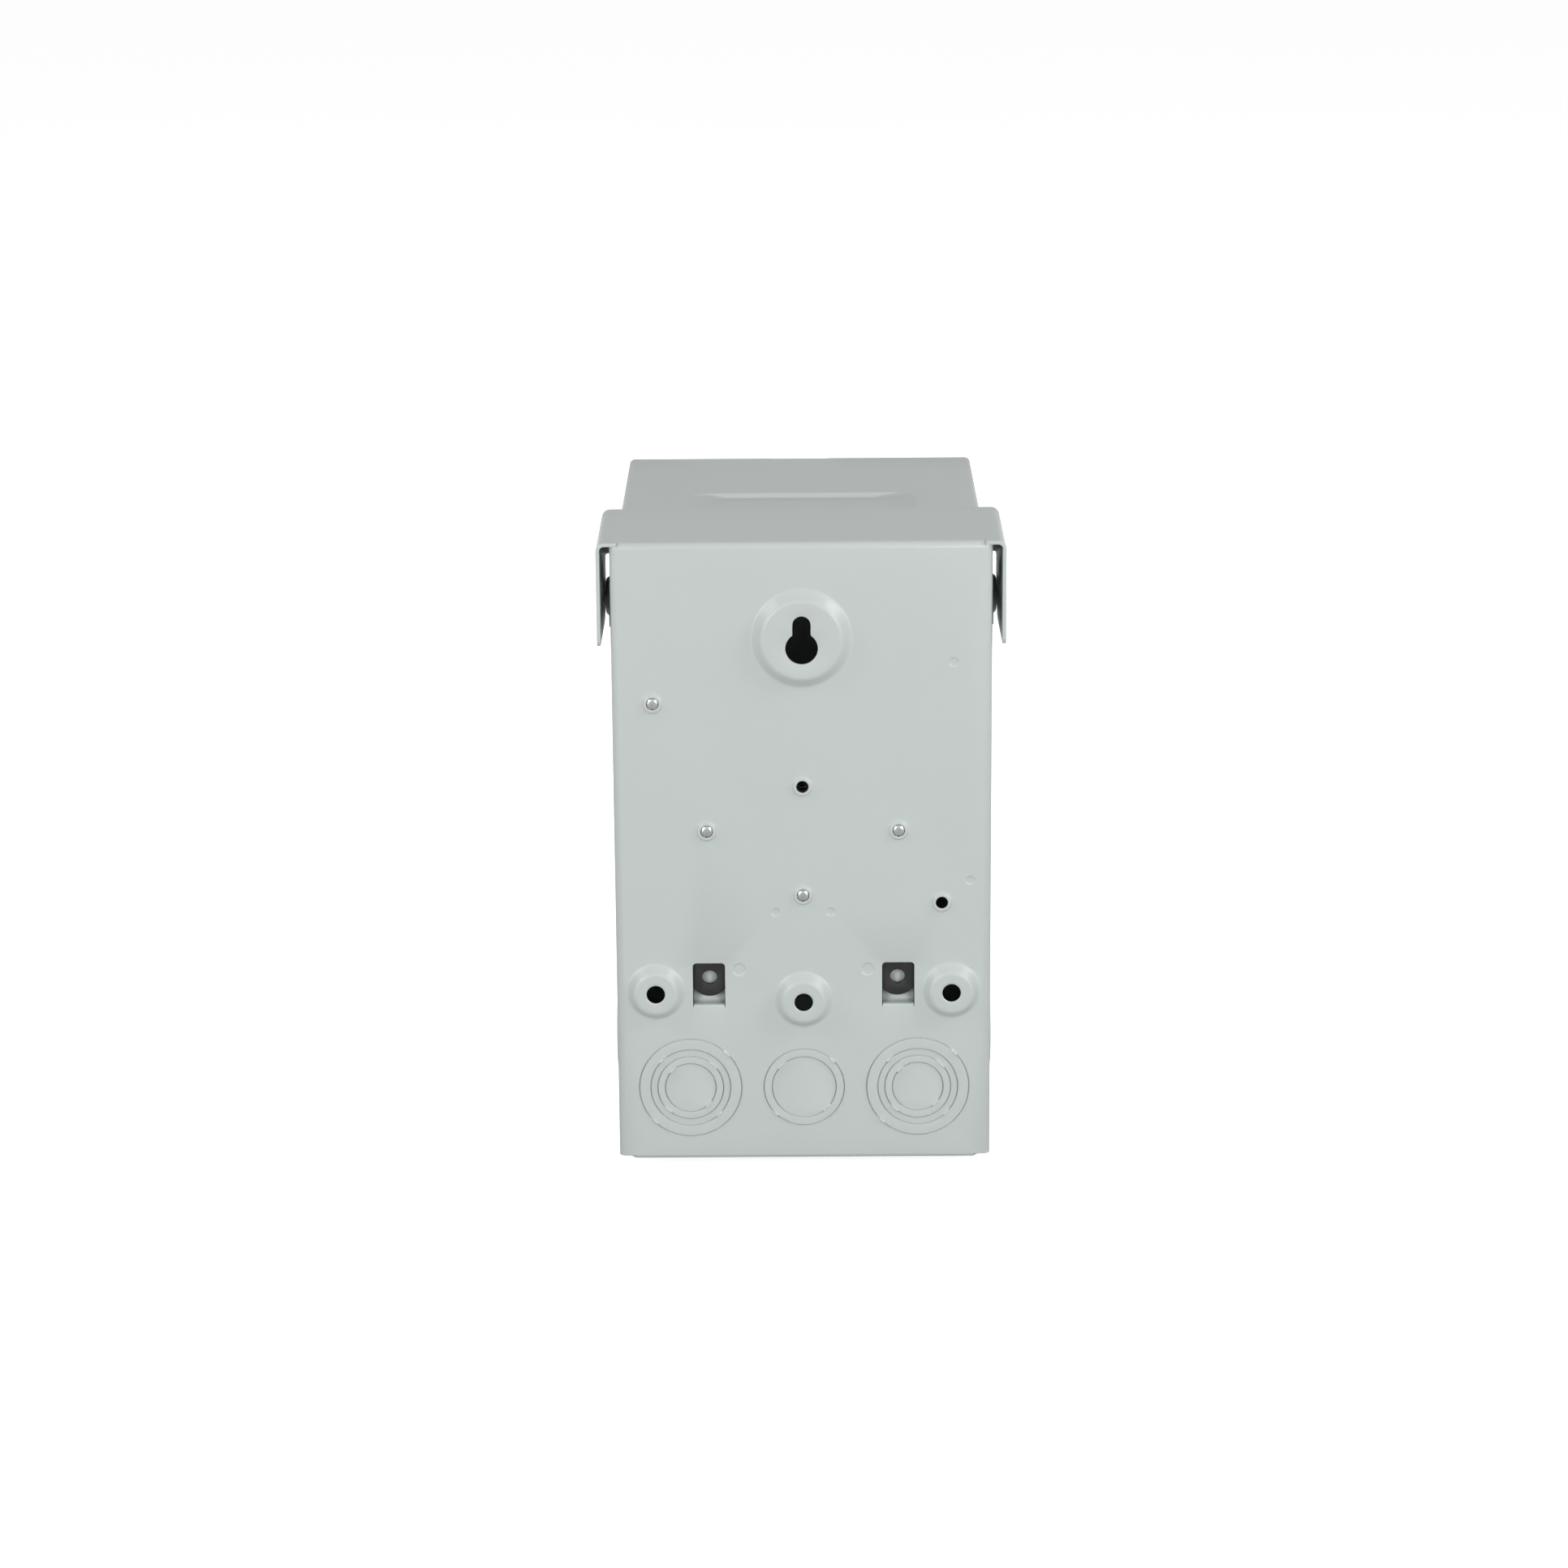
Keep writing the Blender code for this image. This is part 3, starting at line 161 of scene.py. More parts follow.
def in_mm(profile):
    """(radius, height) steps given in millimetres."""
    return [(radius * MM, height * MM) for radius, height in profile]


def extend(offset):
    bpy.ops.mesh.extrude_region_move(TRANSFORM_OT_translate={"value": tuple(offset)})


def sweep_arc(radius, start, turn, steps, place):
    """Carry the selected edges along an arc, angles in degrees; place(a, b) sets its plane."""
    points = [(radius * math.cos(math.radians(start + turn * step / steps)),
               radius * math.sin(math.radians(start + turn * step / steps)))
              for step in range(steps + 1)]
    for here, there in zip(points, points[1:]):
        extend(place(there[0] - here[0], there[1] - here[1]))


def trace(points, close=True):
    """Draw a line of edges, one vertex extruded after another."""
    points = [Vector(point) for point in points]
    bpy.ops.mesh.select_all(action="DESELECT")
    bpy.ops.mesh.primitive_plane_add(size=MM, location=points[0])
    bpy.ops.mesh.merge(type="CENTER")
    for here, there in zip(points, points[1:]):
        extend(there - here)
    if close:
        extend(points[0] - points[-1])


def ring(centre, radius, axis, segments):
    """An open circle of edges round an axis."""
    turn = {X: (0, math.pi / 2, 0), Y: (math.pi / 2, 0, 0), Z: (0, 0, 0)}[axis]
    bpy.ops.mesh.select_all(action="DESELECT")
    bpy.ops.mesh.primitive_circle_add(vertices=segments, radius=radius, fill_type="NOTHING",
                                      location=centre, rotation=turn)


def turn_profile(centre, axis, radius, steps, height=0.0):
    """Carry the selected ring through (radius, height) steps; heights run along the axis."""
    for new_radius, new_height in steps:
        shift = [0.0, 0.0, 0.0]
        shift[axis] = new_height - height
        scale = [new_radius / radius] * 3
        scale[axis] = 1.0
        extend(shift)
        bpy.ops.transform.resize(value=scale, center_override=tuple(centre))
        radius, height = new_radius, new_height


def pick_ring(centre, radius, axis, level):
    """Select a ring of vertices by its radius and its level along the axis."""
    a, b = [index for index in (X, Y, Z) if index != axis]
    pick(lambda co: near(co[axis], level)
         and near(math.hypot(co[a] - centre[a], co[b] - centre[b]), radius, 3e-5))


def weld_all(distance=2e-6):
    bpy.ops.mesh.select_all(action="SELECT")
    bpy.ops.mesh.remove_doubles(threshold=distance)


def fill_level(test):
    """Fill the loops that pass the test, leaving the loops inside them as holes."""
    pick(test)
    bpy.ops.mesh.fill(use_beauty=True)


def round_corner(a, b, radius, start, steps):
    """Points of a quarter circle round (a, b), from an angle in degrees."""
    turns = [math.radians(start + 90 * step / steps) for step in range(steps + 1)]
    return [(a + radius * math.cos(turn), b + radius * math.sin(turn)) for turn in turns]


def with_mirror(points):
    """Points of one half of an outline, then back along its mirror image."""
    return points + [(-across, other) for across, other in reversed(points)]


def smooth(degrees):
    """Shade smooth wherever two faces meet at less than this angle."""
    bpy.ops.object.shade_smooth_by_angle(angle=math.radians(degrees))


def break_edges(piece, width, segments, degrees):
    """Bevel the edges that turn by more than this angle."""
    broken = piece.modifiers.new("broken_edges", "BEVEL")
    broken.width = width
    broken.segments = segments
    broken.limit_method = "ANGLE"
    broken.angle_limit = math.radians(degrees)
    bpy.ops.object.modifier_apply(modifier=broken.name)


def close_piece(piece, outward, thickness=0.0, edge=0.0, degrees=35):
    """Merge, face outwards, give the sheet its thickness and break its edges.

    outward is (place test, direction): a face that passes has to look that way.
    """
    weld_all(5e-6)
    bpy.ops.mesh.normals_make_consistent(inside=False)
    test, direction = outward
    bm = bmesh.from_edit_mesh(piece.data)
    wrong = any(test(face.calc_center_median()) and face.normal.dot(Vector(direction)) < -0.5
                for face in bm.faces)
    if wrong:
        bpy.ops.mesh.select_all(action="SELECT")
        bpy.ops.mesh.flip_normals()
    bpy.ops.object.mode_set(mode="OBJECT")
    if thickness:
        wall = piece.modifiers.new("wall", "SOLIDIFY")
        wall.thickness = thickness
        wall.offset = -1.0
        wall.use_even_offset = True
        wall.use_quality_normals = True
        bpy.ops.object.modifier_apply(modifier=wall.name)
    if edge:
        break_edges(piece, edge, 2, 50)
    smooth(degrees)


def carve(piece, blocks):
    """Cut square blocks, each given by its (centre, size), out of a finished piece."""
    for centre, size in blocks:
        finish_editing()
        bpy.ops.mesh.primitive_cube_add(size=1.0, location=centre, scale=size)
        tool = bpy.context.object
        bpy.ops.object.transform_apply(location=True, rotation=True, scale=True)
        bpy.ops.object.select_all(action="DESELECT")
        piece.select_set(True)
        bpy.context.view_layer.objects.active = piece
        cut = piece.modifiers.new("cut", "BOOLEAN")
        cut.operation = "DIFFERENCE"
        cut.solver = "EXACT"
        cut.object = tool
        bpy.ops.object.modifier_apply(modifier=cut.name)
        bpy.data.objects.remove(tool, do_unlink=True)


def settle(piece, body, nodes, material):
    """Dress a finished piece and hang it on its body."""
    piece.data.materials.clear()
    piece.data.materials.append(material)
    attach(piece, body)
    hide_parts(*nodes)


def softened(node, edge, segments=2):
    """A merged copy of a frame node with its sharp edges broken."""
    finish_editing()
    source = frame["nodes"][node]
    piece = source.copy()
    piece.data = source.data.copy()
    piece.name = node + "_finished"
    piece.data.name = piece.name
    piece.parent = None
    for key in list(piece.keys()):
        del piece[key]
    bpy.context.scene.collection.objects.link(piece)
    bpy.context.view_layer.objects.active = piece
    piece.select_set(True)
    bpy.ops.object.mode_set(mode="EDIT")
    bpy.ops.mesh.select_mode(type="VERT")
    weld_all(3e-6)
    bpy.ops.mesh.dissolve_limited(angle_limit=math.radians(0.5))
    bpy.ops.object.mode_set(mode="OBJECT")
    if edge:
        break_edges(piece, edge, segments, 40)
    smooth(35)
    return piece


# ---------------------------------------------------------------- shader sums

class Value:
    """A shader socket that can stand in sums, each operator adding its Math node."""

    def __init__(self, tree, socket):
        self.tree = tree
        self.socket = socket

    def _with(self, operation, other, first=True):
        node = self.tree.nodes.new("ShaderNodeMath")
        node.operation = operation
        pair = (self, other) if first else (other, self)
        for slot, value in zip(node.inputs, pair):
            put(self.tree, slot, value)
        return Value(self.tree, node.outputs[0])

    def __add__(self, other):
        return self._with("ADD", other)

    __radd__ = __add__

    def __sub__(self, other):
        return self._with("SUBTRACT", other)

    def __rsub__(self, other):
        return self._with("SUBTRACT", other, False)

    def __mul__(self, other):
        return self._with("MULTIPLY", other)

    __rmul__ = __mul__

    def __truediv__(self, other):
        return self._with("DIVIDE", other)

    def __gt__(self, other):
        return self._with("GREATER_THAN", other)

    def __lt__(self, other):
        return self._with("LESS_THAN", other)

    def __mod__(self, other):
        return self._with("FLOORED_MODULO", other)

    def __abs__(self):
        return self._with("ABSOLUTE", 0.0)


def put(tree, socket, value):
    if isinstance(value, Value):
        tree.links.new(value.socket, socket)
    elif value is not None:
        socket.default_value = value


class Finish:
    """A material being written."""

    def __init__(self, name, metallic=0.0, coat=0.0, coat_roughness=0.1):
        self.material = bpy.data.materials.new(name)
        self.material.use_nodes = True
        self.tree = self.material.node_tree
        self.shader = self.tree.nodes["Principled BSDF"]
        self.shader.inputs["Metallic"].default_value = metallic
        self.shader.inputs["Coat Weight"].default_value = coat
        self.shader.inputs["Coat Roughness"].default_value = coat_roughness

    def add(self, kind, settings=None, values=None, output=0):
        """Any node: its settings first, then the values or links of its sockets."""
        node = self.tree.nodes.new(kind)
        for key, value in (settings or {}).items():
            setattr(node, key, value)
        for key, value in (values or {}).items():
            put(self.tree, node.inputs[key], value)
        return Value(self.tree, node.outputs[output])

    def place(self):
        return self.add("ShaderNodeTexCoord", output="Object")

    def noise(self, scale, detail, roughness, vector):
        return self.add("ShaderNodeTexNoise", None,
                        {"Vector": vector, "Scale": scale, "Detail": detail, "Roughness": roughness},
                        "Fac")

    def ramp(self, value, low, high):
        """0 below low, 1 above high."""
        return self.add("ShaderNodeMapRange", {"clamp": True},
                        {"Value": value, "From Min": low, "From Max": high}, "Result")

    def blend(self, factor, first, second):
        return self.add("ShaderNodeMix", {"data_type": "RGBA"}, {0: factor, 6: first, 7: second}, 2)

    def bump(self, height, distance, strength, normal=None):
        return self.add("ShaderNodeBump", None, {"Height": height, "Distance": distance,
                                                 "Strength": strength, "Normal": normal}, "Normal")

    def dress(self, color=None, roughness=None, normal=None):
        for key, value in (("Base Color", color), ("Roughness", roughness), ("Normal", normal)):
            put(self.tree, self.shader.inputs[key], value)
        return self.material


def rgba(color, scale=1.0):
    return (color[0] * scale, color[1] * scale, color[2] * scale, 1.0)


def powder_coat(color):
    """Grey powder coat: orange peel, fine grain, faint cloudiness and a few darker flecks."""
    made = Finish("grey_powder_coat", coat=0.25, coat_roughness=0.2)
    place = made.place()
    peel = made.noise(620.0, 2.0, 0.5, place)
    grain = made.noise(2600.0, 2.0, 0.6, place)
    cloud = made.noise(16.0, 3.0, 0.55, place)
    fleck = made.ramp(made.noise(900.0, 4.0, 0.7, place), 0.74, 0.8)
    tone = made.blend(cloud, rgba(color, 0.975), rgba(color, 1.02))
    tone = made.blend(fleck * 0.25, tone, rgba(color, 0.8))
    roughness = 0.36 + 0.07 * grain + 0.04 * cloud
    normal = made.bump(grain, 0.008 * MM, 0.6, made.bump(peel, 0.035 * MM, 0.5))
    return made.dress(tone, roughness, normal)


def dark_moulding(color):
    """Glass-filled thermoplastic with a fine moulded grain and faint flow marks."""
    made = Finish("dark_moulding")
    place = made.place()
    grain = made.noise(1500.0, 3.0, 0.6, place)
    flow = made.noise(60.0, 4.0, 0.6, place)
    tone = made.blend(flow, rgba(color, 0.8), rgba(color, 1.35))
    return made.dress(tone, 0.42 + 0.2 * grain, made.bump(grain, 0.03 * MM, 0.5))


def breaker_plastic(name, color, gloss):
    made = Finish(name)
    place = made.place()
    grain = made.noise(1100.0, 2.0, 0.5, place)
    swirl = made.noise(45.0, 3.0, 0.6, place)
    tone = made.blend(swirl, rgba(color, 0.85), rgba(color, 1.25))
    return made.dress(tone, gloss + 0.12 * grain, made.bump(grain, 0.02 * MM, 0.45))


def zinc_plate(color):
    """Bright zinc with a fine grain and a faint warm cloud."""
    made = Finish("zinc_plate", metallic=1.0)
    place = made.place()
    cloud = made.noise(420.0, 3.0, 0.6, place)
    grain = made.noise(3400.0, 2.0, 0.5, place)
    tone = made.blend(cloud, rgba(color, 0.9), (0.86, 0.87, 0.84, 1.0))
    return made.dress(tone, 0.2 + 0.14 * grain, made.bump(grain, 0.01 * MM, 0.4))


def tinned_aluminium(color):
    """Extruded aluminium under tin: lines along the draw, dull mottling."""
    made = Finish("tinned_aluminium", metallic=1.0)
    place = made.place()
    drawn = made.add("ShaderNodeMapping", None, {"Vector": place, "Scale": (1800.0, 1800.0, 30.0)},
                     "Vector")
    lines = made.noise(1.0, 2.0, 0.5, drawn)
    mottle = made.noise(240.0, 4.0, 0.6, place)
    tone = made.blend(mottle, rgba(color, 0.88), rgba(color, 1.04))
    return made.dress(tone, 0.32 + 0.14 * mottle, made.bump(lines, 0.01 * MM, 0.5))


def printed_directory(color):
    """Blank circuit directory: thin printed rules on off-white film."""
    made = Finish("printed_directory")
    place = made.place()
    low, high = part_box("directory_label")
    across = made.add("ShaderNodeSeparateXYZ", None, {"Vector": place}, "X")
    along = Value(made.tree, across.socket.node.outputs["Y"])
    columns = abs(across) / (high.x - low.x) * 2.0
    rows = (along - low.y) / (high.y - low.y)
    rule = 0.6 * MM
    row_step = (high.y - low.y) / 8
    row_line = ((along - low.y) % row_step) < rule
    margin = (rows > 0.06) * (rows < 0.94) * (columns < 0.94)
    middle_line = abs(across) < rule / 2
    side_line = abs(abs(across) - (high.x - low.x) * 0.36) < rule / 2
    heading = (rows > 0.86) * margin
    ink = made.ramp((row_line + middle_line + side_line) * margin + heading, 0.0, 1.0)
    fibre = made.noise(1800.0, 3.0, 0.6, place)
    sheet = made.blend(fibre, rgba(color, 0.97), rgba(color, 1.02))
    tone = made.blend(ink, sheet, (0.16, 0.19, 0.2, 1.0))
    return made.dress(tone, 0.5 + 0.1 * fibre, made.bump(fibre, 0.008 * MM, 0.4))


FINISHES = {}


def finish_named(name):
    """Each finish is written once, from the colours in the panel."""
    if name not in FINISHES:
        hues = bpy.context.scene.load_centre_colours
        makers = {
            "paint": lambda: powder_coat(hues.paint),
            "moulding": lambda: dark_moulding(hues.moulding),
            "breaker_case": lambda: breaker_plastic("breaker_case", hues.breaker, 0.36),
            "breaker_handle": lambda: breaker_plastic("breaker_handle", hues.breaker, 0.24),
            "zinc": lambda: zinc_plate(hues.zinc),
            "aluminium": lambda: tinned_aluminium(hues.aluminium),
            "label": lambda: printed_directory(hues.label),
        }
        FINISHES[name] = makers[name]()
    return FINISHES[name]


# ---------------------------------------------------------------- enclosure

SCREW_NODES = ("ground_bar_screw", "base_screw_left", "base_screw_right", "base_screw_center")
OPEN_HOLES = ((0.0, -71.9), (-59.8, -124.1))
DIMPLES = ((-64.6, -17.4, 4.1), (-72.0, -114.2, 3.8), (-11.9, -128.2, 3.7), (11.9, -128.2, 3.7),
           (-27.8, -154.1, 5.6), (27.8, -154.1, 5.6))
SIDE_RINGS = (22.25, 17.45, 14.3, 11.1)
CENTRE_RINGS = (17.45, 13.95)
LINE_DEPTH = 0.55 * MM
TIE_ANGLES = (45.0, 135.0)
HALF_TIE = 2.1 * MM
# Flat margins between a pressing and the loop that joins it to its sheet.
BOSS_SUPPORT = 0.9 * MM
KNOCKOUT_SUPPORT = 1.1 * MM
HOLE_SUPPORT = 5.4 * MM
DIMPLE_SUPPORT = 0.7
# Base, crown and hole radii of the bosses.
TOP_BOSS = (21.5 * MM, 16.85 * MM, None)
LOW_BOSS = (12.7 * MM, 8.75 * MM, 4.0 * MM)
LOW_BOSS_DROP = 6.4 * MM
KEYHOLE_SLOT = 3.9 * MM
KEYHOLE_HEAD = 6.95 * MM
KEYHOLE_DROP = 10.2 * MM
# The two windows and the tabs bent out of them.
WINDOW_X = 41.0 * MM
HALF_WINDOW = 7.0 * MM
HALF_TAB = 6.7 * MM
WINDOW_TOP = -151.1 * MM
WINDOW_LOW = -171.0 * MM
WINDOW_CORNER = 1.6 * MM
# Straight run after a bend, lower ends of the side walls and the back, and its lower corner.
BEND_RUN = 0.6 * MM
SIDE_LOW_Z = BOTTOM_Z + 1.5 * MM
PANEL_LOW_Z = BOTTOM_Z + 2.0 * MM
HALF_LOW_EDGE = 74.2 * MM


def middle_of(node):
    low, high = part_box(node)
    return (low + high) / 2


def boss_places():
    """(centre, base radius, crown radius, hole radius) of each pressed boss."""
    found = [(Vector((0, PANEL_Y, MOUNTS["wall_face_top"].z)), *TOP_BOSS)]
    for name in ("wall_face_lower_left", "wall_face_lower_right", "wall_face_lower_center"):
        place = MOUNTS[name]
        found.append((Vector((place.x, PANEL_Y, place.z - LOW_BOSS_DROP)), *LOW_BOSS))
    return found


def boss_profile(base, crown, height):
    """Root fillet, straight flank and crown fillet of a pressed boss."""
    return [(base + 0.5 * MM, 0.0), (base - 0.15 * MM, 0.07 * MM), (base - 0.7 * MM, 0.36 * MM),
            (base - 1.15 * MM, 0.8 * MM), (crown + 1.25 * MM, height - 0.95 * MM),
            (crown + 0.8 * MM, height - 0.5 * MM), (crown + 0.2 * MM, height - 0.17 * MM),
            (crown - 0.5 * MM, height - 0.02 * MM), (crown - 1.1 * MM, height)]


def knockout_steps(rings, step):
    """Profile of concentric knockouts, pressed out and in by turns with a sheared line between.

    Also gives each line's (radius, level outside it, level inside it).
    """
    steps = []
    marks = []
    level = 0.0
    for index, radius in enumerate(rings):
        size = radius * MM
        inner = step if index % 2 == 0 else 0.0
        foot = min(level, inner) - LINE_DEPTH
        steps += [(size + 0.6 * MM, level), (size + 0.27 * MM, level - 0.03 * MM),
                  (size + 0.17 * MM, foot), (size - 0.17 * MM, foot),
                  (size - 0.27 * MM, inner - 0.03 * MM), (size - 0.6 * MM, inner)]
        marks.append((size, level, inner))
        level = inner
    return steps, marks


def knockout_places():
    """(centre, ring radii) of each group of knockouts in the back."""
    places = [(MOUNTS["conduit_face_back_" + side], rings) for side, rings in (
        ("left", SIDE_RINGS), ("right", SIDE_RINGS), ("center", CENTRE_RINGS))]
    return [(Vector((place.x, PANEL_Y, place.z)), rings) for place, rings in places]


def window_outline(middle):
    points = [(middle + HALF_TAB, WINDOW_LOW), (middle + HALF_WINDOW, WINDOW_LOW)]
    for side, start in ((1, 0), (-1, 90)):
        points += round_corner(middle + side * (HALF_WINDOW - WINDOW_CORNER),
                               WINDOW_TOP - WINDOW_CORNER, WINDOW_CORNER, start, 4)
    points += [(middle - HALF_WINDOW, WINDOW_LOW), (middle - HALF_TAB, WINDOW_LOW)]
    return [(x, PANEL_Y, z) for x, z in points]


def draw_panel():
    """Back panel: its outline, the loops of all it carries, and the face between them."""
    bend = bpy.context.scene.load_centre_sizes.bend_radius
    half = HALF_PANEL - bend
    outline = with_mirror([(half, TOP_Z - bend), (half, SIDE_LOW_Z),
                           (HALF_LOW_EDGE + 0.6 * MM, SIDE_LOW_Z), (HALF_LOW_EDGE, PANEL_LOW_Z)])
    trace([(x, PANEL_Y, z) for x, z in outline])
    for centre, base, crown, hole in boss_places():
        ring(centre, base + BOSS_SUPPORT, Y, 56 if hole is None else 44)
    for centre, rings in knockout_places():
        ring(centre, rings[0] * MM + KNOCKOUT_SUPPORT, Y, 96)
    for x, z in hole_places():
        ring((x, PANEL_Y, z), HOLE_SUPPORT, Y, 24)
    for x, z, size in DIMPLES:
        ring((x * MM, PANEL_Y, z * MM), (size / 2 + DIMPLE_SUPPORT) * MM, Y, 20)
    for side in (-1, 1):
        trace(window_outline(side * WINDOW_X))
    weld_all(5e-6)
    fill_level(lambda co: near(co.y, PANEL_Y))


def hole_places():
    screws = [(middle_of(node).x, middle_of(node).z) for node in SCREW_NODES]
    return screws + [(x * MM, z * MM) for x, z in OPEN_HOLES]


def press_bosses():
    height = bpy.context.scene.load_centre_sizes.boss_height
    for centre, base, crown, hole in boss_places():
        outer = base + BOSS_SUPPORT
        pick_ring(centre, outer, Y, PANEL_Y)
        steps = boss_profile(base, crown, height)
        if hole:
            steps += [(hole + 1.0 * MM, height), (hole + 0.25 * MM, height - 0.02 * MM),
                      (hole, height - 0.2 * MM)]
        turn_profile(centre, Y, outer, steps)
    crown_y = PANEL_Y + height
    trace([(x, crown_y, z) for x, z in keyhole_outline()])
    weld_all(5e-6)
    middle, base, crown, hole = boss_places()[0]
    crown_radius = boss_profile(base, crown, height)[-1][0]
    fill_level(lambda co: near(co.y, crown_y)
               and math.hypot(co.x - middle.x, co.z - middle.z) < crown_radius + 1e-5)


def keyhole_outline():
    """Round hole for a screw's head with the slot that it slides up into."""
    spread = math.asin(KEYHOLE_SLOT / KEYHOLE_HEAD)
    turns = [math.pi * step / 12 for step in range(13)]
    points = [(KEYHOLE_SLOT * math.cos(turn), KEYHOLE_SLOT * math.sin(turn)) for turn in turns]
    turns = [math.pi / 2 + spread + (math.tau - 2 * spread) * step / 32 for step in range(33)]
    return points + [(KEYHOLE_HEAD * math.cos(turn), -KEYHOLE_DROP + KEYHOLE_HEAD * math.sin(turn))
                     for turn in turns]


def press_small_holes():
    rim = [(4.7, 0.0), (4.35, 0.1), (4.1, 0.42), (3.92, 0.72), (3.7, 0.87), (3.4, 0.9), (2.85, 0.88),
           (2.65, 0.7)]
    for x, z in hole_places():
        pick_ring((x, PANEL_Y, z), HOLE_SUPPORT, Y, PANEL_Y)
        turn_profile((x, PANEL_Y, z), Y, HOLE_SUPPORT, in_mm(rim))
    for x, z, size in DIMPLES:
        centre = (x * MM, PANEL_Y, z * MM)
        radius = size / 2
        outer = (radius + DIMPLE_SUPPORT) * MM
        pick_ring(centre, outer, Y, PANEL_Y)
        turn_profile(centre, Y, outer, in_mm((
            (radius + 0.25, 0.0), (radius, -0.06), (radius - 0.2, -0.28), (radius - 0.45, -0.34),
            (radius - 0.8, -0.34))))
        bpy.ops.mesh.edge_face_add()


def press_knockouts():
    step = bpy.context.scene.load_centre_sizes.knockout_step
    for centre, rings in knockout_places():
        outer = rings[0] * MM + KNOCKOUT_SUPPORT
        pick_ring(centre, outer, Y, PANEL_Y)
        steps, marks = knockout_steps(rings, step)
        turn_profile(centre, Y, outer, steps)
        bpy.ops.mesh.edge_face_add()
        for index, (size, outside, inside) in enumerate(marks):
            ease_tie(centre, size, outside, inside, TIE_ANGLES[index % 2])


def ease_tie(centre, size, outside, inside, angle):
    """At its two ties a knockout's sheared step becomes a smooth ramp with a slight bead."""
    half = HALF_TIE / size
    foot = min(outside, inside) - LINE_DEPTH
    # Place across the line, its level, then the place, share of the step and bead that it gets.
    ramp = ((0.27, outside - 0.03 * MM, 0.5, 0.05, 0.12), (0.17, foot, 0.2, 0.4, 0.4),
            (-0.17, foot, -0.2, 0.6, 0.4), (-0.27, inside - 0.03 * MM, -0.5, 0.95, 0.12))
    for mark, level, spread, share, bead in ramp:
        radius = size + mark * MM

        def in_tie(co):
            a = co.x - centre.x
            b = co.z - centre.z
            if not near(math.hypot(a, b), radius):
                return False
            turn = (math.atan2(b, -a) - math.radians(angle)) % math.pi
            return min(turn, math.pi - turn) < half
        pick(in_tie)
        scale = (size + spread * MM) / radius
        bpy.ops.transform.resize(value=(scale, 1.0, scale), center_override=tuple(centre))
        lift = outside + (inside - outside) * share + bead * MM - level
        bpy.ops.transform.translate(value=(0, lift, 0))


def bend_tabs():
    """Window tabs: over the lip, forwards along the foot and up behind the tongue."""
    place = lambda a, b: (0.0, -abs(a), abs(b))
    for side in (-1, 1):
        middle = side * WINDOW_X
        pick(lambda co: near(co.z, WINDOW_LOW) and near(abs(co.x - middle), HALF_TAB)
             and near(co.y, PANEL_Y))
        sweep_arc(1.0 * MM, 0, 90, 5, place)
        extend((0, -2.6 * MM, 0))
        sweep_arc(1.6 * MM, 270, -90, 5, place)
        extend((0, 0, 13.4 * MM))
        extend((0, 0, 1.2 * MM))


def bend_sides():
    """Side walls, bent forwards from the panel, with the notch that the door swings into."""
    sizes = bpy.context.scene.load_centre_sizes
    bend = sizes.bend_radius
    half = HALF_PANEL - bend
    high = TOP_Z - 1.4 * MM
    notch_y = at_depth(32.2)
    notch_z = HINGE_Z - 10.0 * MM
    knockout = MOUNTS["conduit_face_side_left"]
    outer = 18.6 * MM
    for side in (-1, 1):
        pick(lambda co: near(co.x, side * half) and near(co.y, PANEL_Y) and near(co.z, TOP_Z - bend))
        extend((0, 0, high - (TOP_Z - bend)))
        pick(lambda co: near(co.x, side * half) and near(co.y, PANEL_Y) and co.z < high + 1e-5)
        sweep_arc(bend, 90, -90, 6, lambda a, b: (side * a, b, 0.0))
        extend((0, -BEND_RUN, 0))
        start = at_depth(bend / MM + 0.6)
        wall = side * HALF_PANEL
        edge = [(start, high), (notch_y, high), (notch_y, notch_z + 3 * MM),
                (notch_y - 0.9 * MM, notch_z + 0.9 * MM), (notch_y - 3 * MM, notch_z),
                (SIDE_FRONT_Y + 2 * MM, notch_z), (SIDE_FRONT_Y + 0.6 * MM, notch_z - 0.6 * MM),
                (SIDE_FRONT_Y, notch_z - 2 * MM), (SIDE_FRONT_Y, SIDE_LOW_Z), (start, SIDE_LOW_Z)]
        trace([(wall, y, z) for y, z in edge], close=False)
        centre = Vector((wall, knockout.y, knockout.z))
        ring(centre, outer, X, 64)
        weld_all(5e-6)
        fill_level(lambda co: near(co.x, wall) and co.y < start + 1e-5)
        pick_ring(centre, outer, X, wall)
        step = side * sizes.side_knockout_step
        steps = [(17.85 * MM, 0.0), (17.55 * MM, -side * 0.03 * MM), (17.47 * MM, -side * 0.1 * MM),
                 (17.4 * MM, step * 0.7), (17.2 * MM, step * 0.95), (16.8 * MM, step), (16.2 * MM, step)]
        turn_profile(centre, X, outer, steps)
        bpy.ops.mesh.edge_face_add()


def bend_top():
    """The bend between the panel and the hood's top."""
    bend = bpy.context.scene.load_centre_sizes.bend_radius
    half = HALF_PANEL - bend
    pick(lambda co: near(co.y, PANEL_Y) and near(co.z, TOP_Z - bend) and abs(co.x) < half + 1e-5)
    sweep_arc(bend, 90, -90, 6, lambda a, b: (0.0, b, a))
    extend((0, -BEND_RUN, 0))


